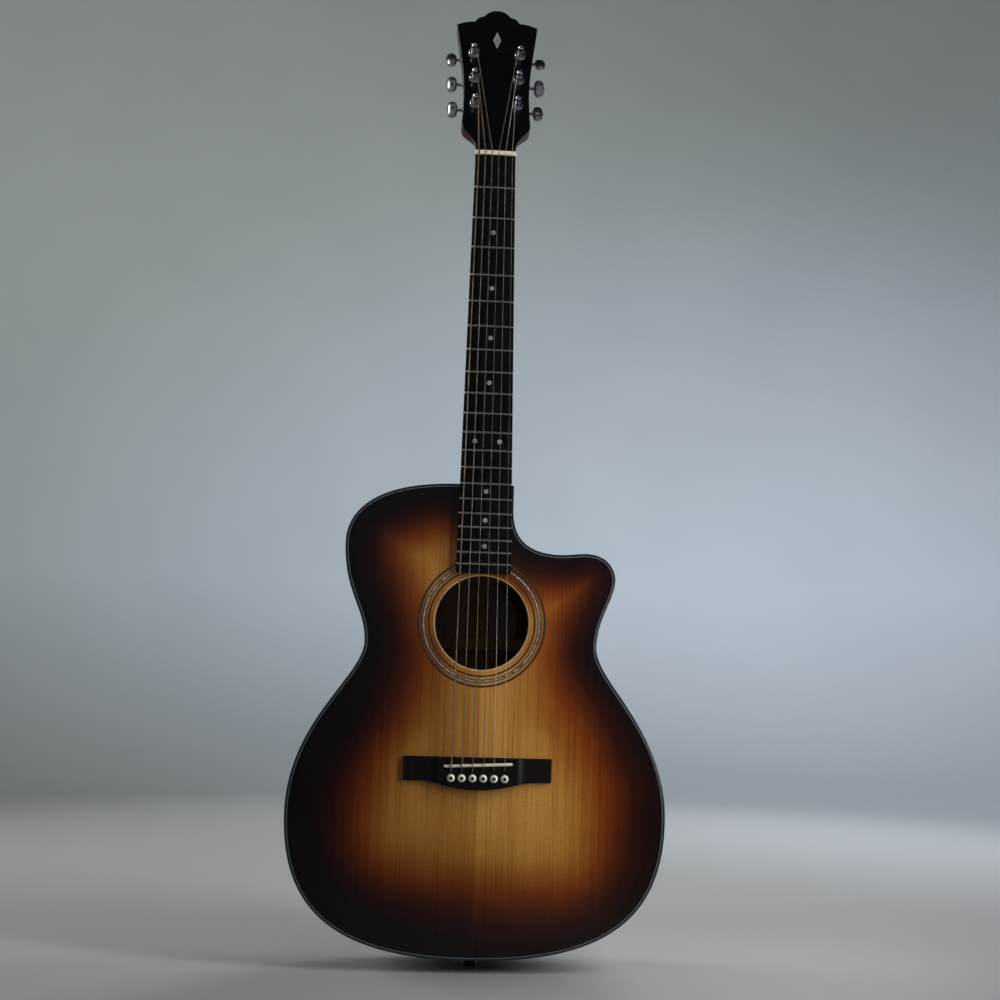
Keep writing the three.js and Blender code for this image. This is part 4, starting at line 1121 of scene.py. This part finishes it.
def make_fingerboard():
    """The cambered board with round corners at its end, its frets and its dots."""
    rings = []
    corner = 2.5
    round_end = [BOARD_END - corner + corner * math.sin(a) for a in np.linspace(0, math.pi / 2, 8)]
    for down in [0, 0.3, *range(8, 450, 8), *round_end]:
        past = max(0, down - BOARD_END + corner)
        half = board_half(down) - corner + math.sqrt(corner**2 - past**2)
        ease = 0.25 if down in (0, round_end[-1]) else 0
        edge = board_front(half)
        section = [(-half, 0), (-half, edge - 0.5), (-half + 0.15, edge - 0.15 - ease)]
        section += [(x, board_front(x) - ease) for x in np.linspace(-half + 0.5, half - 0.5, 25)]
        section += [(half - 0.15, edge - 0.15 - ease), (half, edge - 0.5), (half, 0)]
        rings.append([at(x, down, rise) for x, rise in section])
    board = Shell().loft(rings)
    piece("fingerboard_plank", board, BOARD_WOOD, stands_for=["fingerboard"], slot="dark_rosewood")

    for number in range(1, FRET_COUNT + 1):
        make_fret(number)

    dots, marks = Shell(), Shell()
    for number in (3, 5, 7, 9, 15, 17, 19, 12):
        down = (fret_down(number) + fret_down(number - 1)) / 2
        for side in (-1, 1) if number == 12 else (0,):
            x = 13.1 * side
            disc(dots, 2.6, lambda u, v, h: at(x + u, down + v, board_front(x + u) + h), 0.04, 32)
            beside = down + 3 * side
            edge = -board_half(beside)
            disc(marks, 0.9, lambda u, v, h: at(edge - h, beside + u, 3.2 + v), 0.05, 16)
    piece("position_dots", dots, DOT_SHELL, slot="rosette_pearl")
    piece("side_dots", marks, DOT_SHELL, slot="rosette_pearl")


def disc(shell, radius, place, proud, sides):
    """A thin inlaid disc with an eased edge."""
    profile = [(radius, -0.5), (radius, proud - 0.03), (radius - 0.12, proud), (radius / 2, proud)]
    turned(shell, profile + [(0.02, proud)], place, sides)


def make_fret(number):
    """A crowned wire that follows the curved board, with its ends filed to a slope."""
    down = fret_down(number)
    half = board_half(down) - 0.1
    rings = []
    for k in range(27):
        x = half * (k / 13 - 1)
        tip = min(1, (half - abs(x)) / 1.2)
        tall = lerp(0.25, 1.0, tip)
        wide = lerp(0.8, 1.1, tip)
        crown = [(wide * math.cos(a), 0.12 + tall * math.sin(a)) for a in np.linspace(0, math.pi, 9)]
        foot = [(-wide, -0.15), (-0.3, -0.15), (-0.3, -1.4), (0.3, -1.4), (0.3, -0.15), (wide, -0.15)]
        rings.append([at(x, down + d, board_front(x) + rise) for d, rise in crown + foot])
    piece(f"fret_{number}", Shell().loft(rings), FRET_METAL, slot="plain_steel")


def make_nut():
    """A bone strip with a groove for each string and its back sloped towards the head."""
    rings = []
    slots = [(NUT_STRING_HALF * string_part(i), d / 2 + 0.12) for i, d in enumerate(STRING_DIAMETERS)]
    stations = {-NUT_HALF, NUT_HALF, *np.linspace(-NUT_HALF + 0.4, NUT_HALF - 0.4, 30)}
    for x, width in slots:
        stations.update((x - width - 0.15, x + width + 0.15))
        stations.update(x + width * share for share in (-1, -0.5, 0, 0.5, 1))
    for x in sorted(stations):
        crest = 8.75 - camber(x)
        if abs(x) > NUT_HALF - 0.3:
            crest -= 0.35
        for middle, width in slots:
            if abs(x - middle) < width + 0.01:
                crest = NUT_STRING_RISE - camber(middle) + 0.06
        low = crest - 1.1
        section = [(0, 0), (0, crest - 0.3), (-0.3, crest), (-3.4, crest - 0.15), (-5.0, low)]
        section += [(-NUT_THICKNESS, low - 0.8), (-NUT_THICKNESS, 0)]
        rings.append([at(x, down, rise) for down, rise in section])
    piece("nut_bone", Shell().loft(rings), BONE, stands_for=["nut"], slot="bone", sharp=40)


# ---------------------------------------------------------------- strings and tuners

COIL_OUT = 8.6
COIL_CORE = 2.5
COIL_TURNS = (2.3, 2.6, 3.0, 3.4, 4.2, 4.8)
WOUND_COUNT = 4


def make_string(index):
    """A string from its ball under the bridge, over saddle and nut, to the coil on its post."""
    r = STRING_DIAMETERS[index] / 2
    number = STRING_COUNT - index
    wound = index < WOUND_COUNT
    finish, slot = (BRONZE, "bronze_wound") if wound else (STEEL, "plain_steel")
    post_x, along, _ = TUNERS[index]
    side = math.copysign(1, post_x)

    x, start = SADDLE_STRING_HALF * string_part(index), NUT_STRING_HALF * string_part(index)
    over, crest = saddle_down(x), SADDLE_STRING_RISE - camber(x) + r
    nut_rise = NUT_STRING_RISE - camber(start) + r + 0.08
    path = [at(x, WIRE_DOWN, rise) for rise in (-7.6, -3, 1, 4.5)]
    path += [at(x, WIRE_DOWN - 0.15, 6.2), at(x, WIRE_DOWN - 0.5, 7.1)]
    path += [at(x, over + 2.2, crest - 1.15), at(x, over + 1.2, crest - 0.4), at(x, over + 0.4, crest - 0.05)]
    for k in range(61):
        t = k / 60
        path.append(at(lerp(x, start, t), lerp(over, 0, t), lerp(crest, nut_rise, t)))
    end = on_head(side * (abs(post_x) - COIL_CORE - r), along, COIL_OUT)
    leave = at(start, -4.6, nut_rise - 0.35)
    path += [at(start, -2.2, nut_rise - 0.02), leave]
    path += [leave.lerp(end, k / 16) for k in range(1, 17)]
    shell = tube(Shell(), path, r, 12 if r > 0.25 else 10)
    tube(shell, [at(x - 2.2, WIRE_DOWN, -9.3), at(x + 2.2, WIRE_DOWN, -9.3)], 1.9, 20)
    piece(f"string_{number}_wire", shell, finish, stands_for=[f"string_{number}"], slot=slot, sharp=60)

    pitch = 2 * r * 1.04
    coil = []
    for k in range(int(COIL_TURNS[index] * 28) + 1):
        angle = 2 * math.pi * k / 28
        u = -side * (COIL_CORE + r) * math.cos(angle)
        v = (COIL_CORE + r) * math.sin(angle)
        coil.append(on_head(post_x + u, along + v, COIL_OUT - pitch * angle / (2 * math.pi)))
    last = coil[-1]
    foot = on_head(post_x, along, 0)
    axis = foot + OUT * (last - foot).dot(OUT)
    away = (axis - last).normalized()
    coil += [last.lerp(axis, t) for t in (0.25, 0.6, 1)]
    coil += [axis + away * t for t in (1.5, 3.4)]
    wrap = tube(Shell(), coil, r, 10)
    piece(f"string_{number}_coil", wrap, finish, f"post_{number}", slot=slot, sharp=60)


def make_tuner(index):
    """One geared tuner. u points outwards from the post, v along the head and h out of its face."""
    x, along, turned_by = TUNERS[index]
    side = math.copysign(1, x)
    number = STRING_COUNT - index

    def near(u, v, h):
        return on_head(x + side * u, along + v, h)

    def sideways(u, v, h):
        return near(h, WORM_OFFSET + u, WORM_OUT + v)

    make_case(number, near, sideways)
    make_trim(number, near, sideways)
    make_bushing(number, near)
    make_post(number, near)
    make_knob(number, sideways, turned_by)


def make_case(number, near, sideways):
    """The gear case behind the head: a rounded casting with bores for the post and the worm."""
    outline = [
        Vector((8.4 * powered(math.cos(a), 0.5), 1.5 + 9.4 * powered(math.sin(a), 0.5)))
        for a in np.linspace(0, 2 * math.pi, 65)[:-1]
    ]
    edge = [(2.4, 0), (1.5, -0.22), (0.75, -0.7), (0.2, -1.5), (0, -2.4), (0, HOUSING_BACK - HOUSING_FRONT)]
    shell = slab(outline, edge, lambda u, v, level: near(u, v, HOUSING_BACK - level), 3)
    case = piece(f"tuner_case_{number}", shell, CHROME, stands_for=[f"tuner_housing_{number}"], slot="chrome")
    carve(case, [
        turned(Shell(), [(4.3, -25.8), (4.3, -20.2)], near, 32),
        turned(Shell(), [(3.3, -21), (3.3, -10)], near, 32),
        turned(Shell(), [(2.4, -7), (2.4, 6.5)], sideways, 24),
        turned(Shell(), [(1.8, 6), (1.8, 20)], sideways, 24),
    ])


def make_trim(number, near, sideways):
    """The worm shaft's collar, the fixing screw on its washer, and the cover over the gear."""
    def on_screw(u, v, h):
        return near(u, v - 9.6, HEAD_BACK - h)

    def on_cover(u, v, h):
        return near(u, v, HOUSING_BACK - h)

    collar = [(3.9, 7.6), (3.9, 9.4), (3.5, 9.7), (3.5, 10.3), (3.8, 10.6), (3.8, 12.3), (3.3, 12.9)]
    washer = [(3.1, 0.1), (3.3, 0.4), (3.3, 1.5), (3.0, 1.8), (0.02, 1.8)]
    screw = [(2.2, 1.7), (2.2, 2.1), (1.8, 2.6), (1.0, 2.9), (0.02, 2.95)]
    cover = [(3.4, -0.2), (3.4, 0.25), (3.0, 0.5), (1.2, 0.5), (1.0, 0.15), (0.02, 0.15)]
    trim = turned(Shell(), collar + [(1.85, 13), (1.85, 7.6)], sideways, 36, True)
    turned(trim, washer, on_screw, 32)
    turned(trim, screw, on_screw, 24)
    turned(trim, cover, on_cover, 36)
    piece(f"tuner_trim_{number}", trim, CHROME, slot="chrome")


def make_bushing(number, near):
    """The sleeve round the post, with a flange and a six-sided head whose corners are trimmed."""
    def six_sided(angle, radius, step):
        if step not in (2, 3, 4):
            return radius
        part = (angle + math.pi / 6) % (math.pi / 3) - math.pi / 6
        return min(radius, 6.3 * math.cos(math.pi / 6) / math.cos(part))

    profile = [(6.6, 0), (6.6, 0.45), (6.3, 0.5), (6.3, 2.2), (5.75, 2.75), (5.2, 2.95), (3.35, 2.95)]
    profile += [(3.35, -16.6), (4.7, -16.6), (4.7, 0)]
    bush = turned(Shell(), profile, near, 72, True, shape=six_sided)
    piece(f"tuner_bushing_{number}", bush, CHROME, slot="chrome", sharp=25)


def make_post(number, near):
    """The post, with its gear's teeth at the foot and a hollow for the string's coil."""
    profile = [
        (0.05, -25.4), (3.9, -25.4), (3.9, -20.6), (3.0, -20.5), (3.0, 4.6), (2.95, 5.2), (2.5, 6.0),
        (2.5, 9.6), (2.95, 10.4), (3.0, 10.8), (3.0, 14.2), (2.85, 14.7), (2.4, 15), (1.2, 15),
        (1.0, 14.7), (0.05, 14.6),
    ]

    def toothed(angle, radius, step):
        return radius - 0.35 * (0.5 + 0.5 * math.cos(18 * angle)) if step in (1, 2) else radius

    shell = turned(Shell(), profile, near, 72, shape=toothed)
    piece(f"post_{number}_shaft", shell, CHROME, f"post_{number}", [f"tuner_post_{number}"], "chrome")


def make_knob(number, sideways, turned_by):
    """Worm, shaft, collar and an oval button that is turned about the shaft."""
    worm = [(0.05, -6)] + [(1.65 if k % 2 else 2.1, -6 + k * 0.6) for k in range(20)] + [(1.5, 6)]
    shell = turned(Shell(), worm + [(1.5, 13.4), (1.5, 16), (0.05, 16)], sideways, 32)
    collar = [(1.4, 13.3), (2.5, 13.3), (2.7, 13.6), (2.7, 14.3), (2.2, 14.8), (1.7, 15.3), (1.9, 17.6)]
    turned(shell, collar + [(2.4, 19.2)], sideways, 36)
    spin = math.radians(turned_by)
    rings = []
    for k in range(25):
        t = -1 + k / 12
        share = max(0.03, (1 - abs(t) ** 2.6) ** (1 / 2.2))
        ring = []
        for i in range(48):
            a = 2 * math.pi * i / 48
            wide = 10.4 * share * powered(math.cos(a), 0.92)
            thick = 3.9 * share**0.8 * powered(math.sin(a), 0.8)
            u = wide * math.cos(spin) - thick * math.sin(spin)
            v = wide * math.sin(spin) + thick * math.cos(spin)
            ring.append(sideways(u, v, 24.4 + 6.1 * t))
        rings.append(ring)
    shell.loft(rings)
    turned(shell, [(1.9, 30.2), (1.9, 30.55), (1.6, 30.8), (0.5, 30.85), (0.02, 30.6)], sideways, 28)
    piece(f"knob_{number}_button", shell, SATIN_CHROME, f"knob_{number}", [f"tuner_knob_{number}"], "chrome")


def make_end_pin():
    """The strap pin in the tail, turned about the vertical axis."""
    profile = [
        (0.05, 0), (5.6, 0), (6.4, 0.25), (6.9, 0.9), (7.0, 1.7), (6.7, 2.6), (5.9, 3.6), (5.0, 4.8),
        (4.4, 6.4), (4.2, 8), (4.35, 9.4), (4.9, 10.6), (5.8, 11.3), (6.4, 11.7), (6.4, 12.5),
        (6.3, 12.95), (3.5, 13), (3.1, 34), (0.05, 34),
    ]
    shell = turned(Shell(), profile, lambda u, v, h: Vector((u, v, h)), 48)
    piece("end_pin_turning", shell, BLACK_PLASTIC, stands_for=["end_pin"], slot="black_plastic")


# ---------------------------------------------------------------- parts inside, kept from the CAD


def dress_inner_parts():
    """Finishes for the CAD parts that no piece replaces: blocks, braces, linings and the rod."""
    finishes = {
        "neck_block": INNER_WOOD,
        "tail_block": INNER_WOOD,
        "truss_rod": ROD_STEEL,
        "truss_rod_nut": BRASS,
    }
    for name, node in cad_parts.items():
        if node.hide_render:
            continue
        node.data.materials.clear()
        # braces and linings take the spruce that is darkened as painted shade
        node.data.materials.append(finishes.get(name, SHADED_SPRUCE_INSIDE))


# ---------------------------------------------------------------- stage, lights and camera


def make_stage():
    """A pale floor whose rim curves up into a round pale wall."""
    made = Finish("studio_paper", 0.85, gloss=0.2)
    mottle = made.noise(made.place(3), detail=3)
    paper = made.mix(made.span(mottle, 0.3, 0.7), (186, 193, 202), (190, 197, 205))
    low = made.span(made.axis(made.place(), 2), 0, 0.6, 1, 0)
    made.give("Base Color", made.mix(low, paper, (156, 159, 162)))

    # radius and height of each ring, in metres
    rim, wall, height = 2.1, 3.1, 3.6
    bend = wall - rim
    section = [(0.001, 0), (0.6, 0)]
    section += [(rim + bend * math.sin(a), bend * (1 - math.cos(a))) for a in np.linspace(0, math.pi / 2, 20)]
    section += [(wall, height)]
    rings = []
    for radius, z in section:
        turns = np.linspace(0, 2 * math.pi, 97)[:-1]
        rings.append([Vector((radius * math.cos(a), radius * math.sin(a), z)) / MM for a in turns])
    cove = Shell().loft(rings, caps=False)
    piece("studio_cove", cove, made.material, body=None, sharp=60)


def softbox(name, place, aim, size, power, colour=(1, 1, 1), spread=180, mirrored=True):
    """A soft area light that no camera sees. One that isn't mirrored shows in no gloss either."""
    data = bpy.data.lights.new(name, "AREA")
    data.shape, data.size, data.size_y = "RECTANGLE", size[0], size[1]
    data.energy, data.color = power, colour
    data.spread = math.radians(spread)
    lamp = bpy.data.objects.new(name, data)
    bpy.context.scene.collection.objects.link(lamp)
    lamp.location = place
    lamp.visible_camera = False
    lamp.visible_glossy = mirrored
    lamp.rotation_mode = "QUATERNION"
    lamp.rotation_quaternion = (Vector(aim) - Vector(place)).to_track_quat("-Z", "Y")


def make_lights():
    softbox("key", (0.6, -0.4, 0.81), (0.2, 0, 0.51), (0.16, 0.62), 2.2, (1, 0.98, 0.95), 110, False)
    softbox("key_low", (0.6, -0.4, 0.31), (0.2, 0, 0.28), (0.16, 0.22), 0.75, (1, 0.98, 0.95), 110)
    softbox("fill", (-1.3, -1.5, 1.7), (0, 0, 0.5), (0.6, 0.6), 0.5, (0.9, 0.95, 1))
    softbox("crown", (-0.7, -0.7, 1.7), (0, 0, 0.97), (0.5, 0.5), 0.5, (1, 1, 1), 40)
    softbox("behind", (1.0, 1.9, 1.5), (0, 0, 0.6), (1.4, 1.4), 20, (1, 0.98, 0.95), 140, False)
    softbox("bass_side", (-1.9, 0.7, 1.1), (0, 0, 0.5), (1.0, 1.0), 11, (1, 0.98, 0.95), 120, False)
    softbox("treble_side", (1.9, 0.5, 1.1), (0, 0, 0.5), (1.0, 1.0), 5, (1, 0.98, 0.95), 120, False)
    softbox("wall_right", (1.6, -0.6, 1.7), (0.65, 3.0, 0.0), (0.8, 0.8), 13, (0.82, 0.9, 1), 62)
    softbox("wall_left", (-1.9, -0.6, 1.7), (0.0, 3.0, 1.9), (1.2, 1.2), 20, (1, 0.99, 0.84), 100)
    softbox("wall_front", (0, -1.0, 2.6), (0, -3.1, 1.2), (1.6, 0.8), 6, (0.9, 0.95, 1))
    world = bpy.data.worlds.new("studio")
    world.use_nodes = True
    world.node_tree.nodes["Background"].inputs[0].default_value = tone(150, 165, 185)
    world.node_tree.nodes["Background"].inputs[1].default_value = 0.03
    bpy.context.scene.world = world


def make_camera():
    """Low and a little to the bass side, looking slightly up at the soundhole."""
    data = bpy.data.cameras.new("camera")
    data.lens, data.sensor_width = 50, 36
    camera = bpy.data.objects.new("camera", data)
    bpy.context.scene.collection.objects.link(camera)
    place = at(-76.1, 563.0, 1448.0) * MM
    ahead = Vector((0.0626, 0.98975, 0.1284)).normalized()
    up = Vector((-0.0357, -0.1264, 0.9913))
    right = ahead.cross(up).normalized()
    up = right.cross(ahead)
    camera.matrix_world = Matrix.Translation(place) @ Matrix((right, up, -ahead)).transposed().to_4x4()
    bpy.context.scene.camera = camera


# ---------------------------------------------------------------- assembly

make_camera()
make_box()
make_soundboard()
make_bridge()
make_neck()
make_fingerboard()
make_nut()
for number in range(STRING_COUNT):
    make_string(number)
    make_tuner(number)
make_end_pin()
dress_inner_parts()
make_stage()
make_lights()
bpy.context.scene.view_settings.view_transform = "Standard"
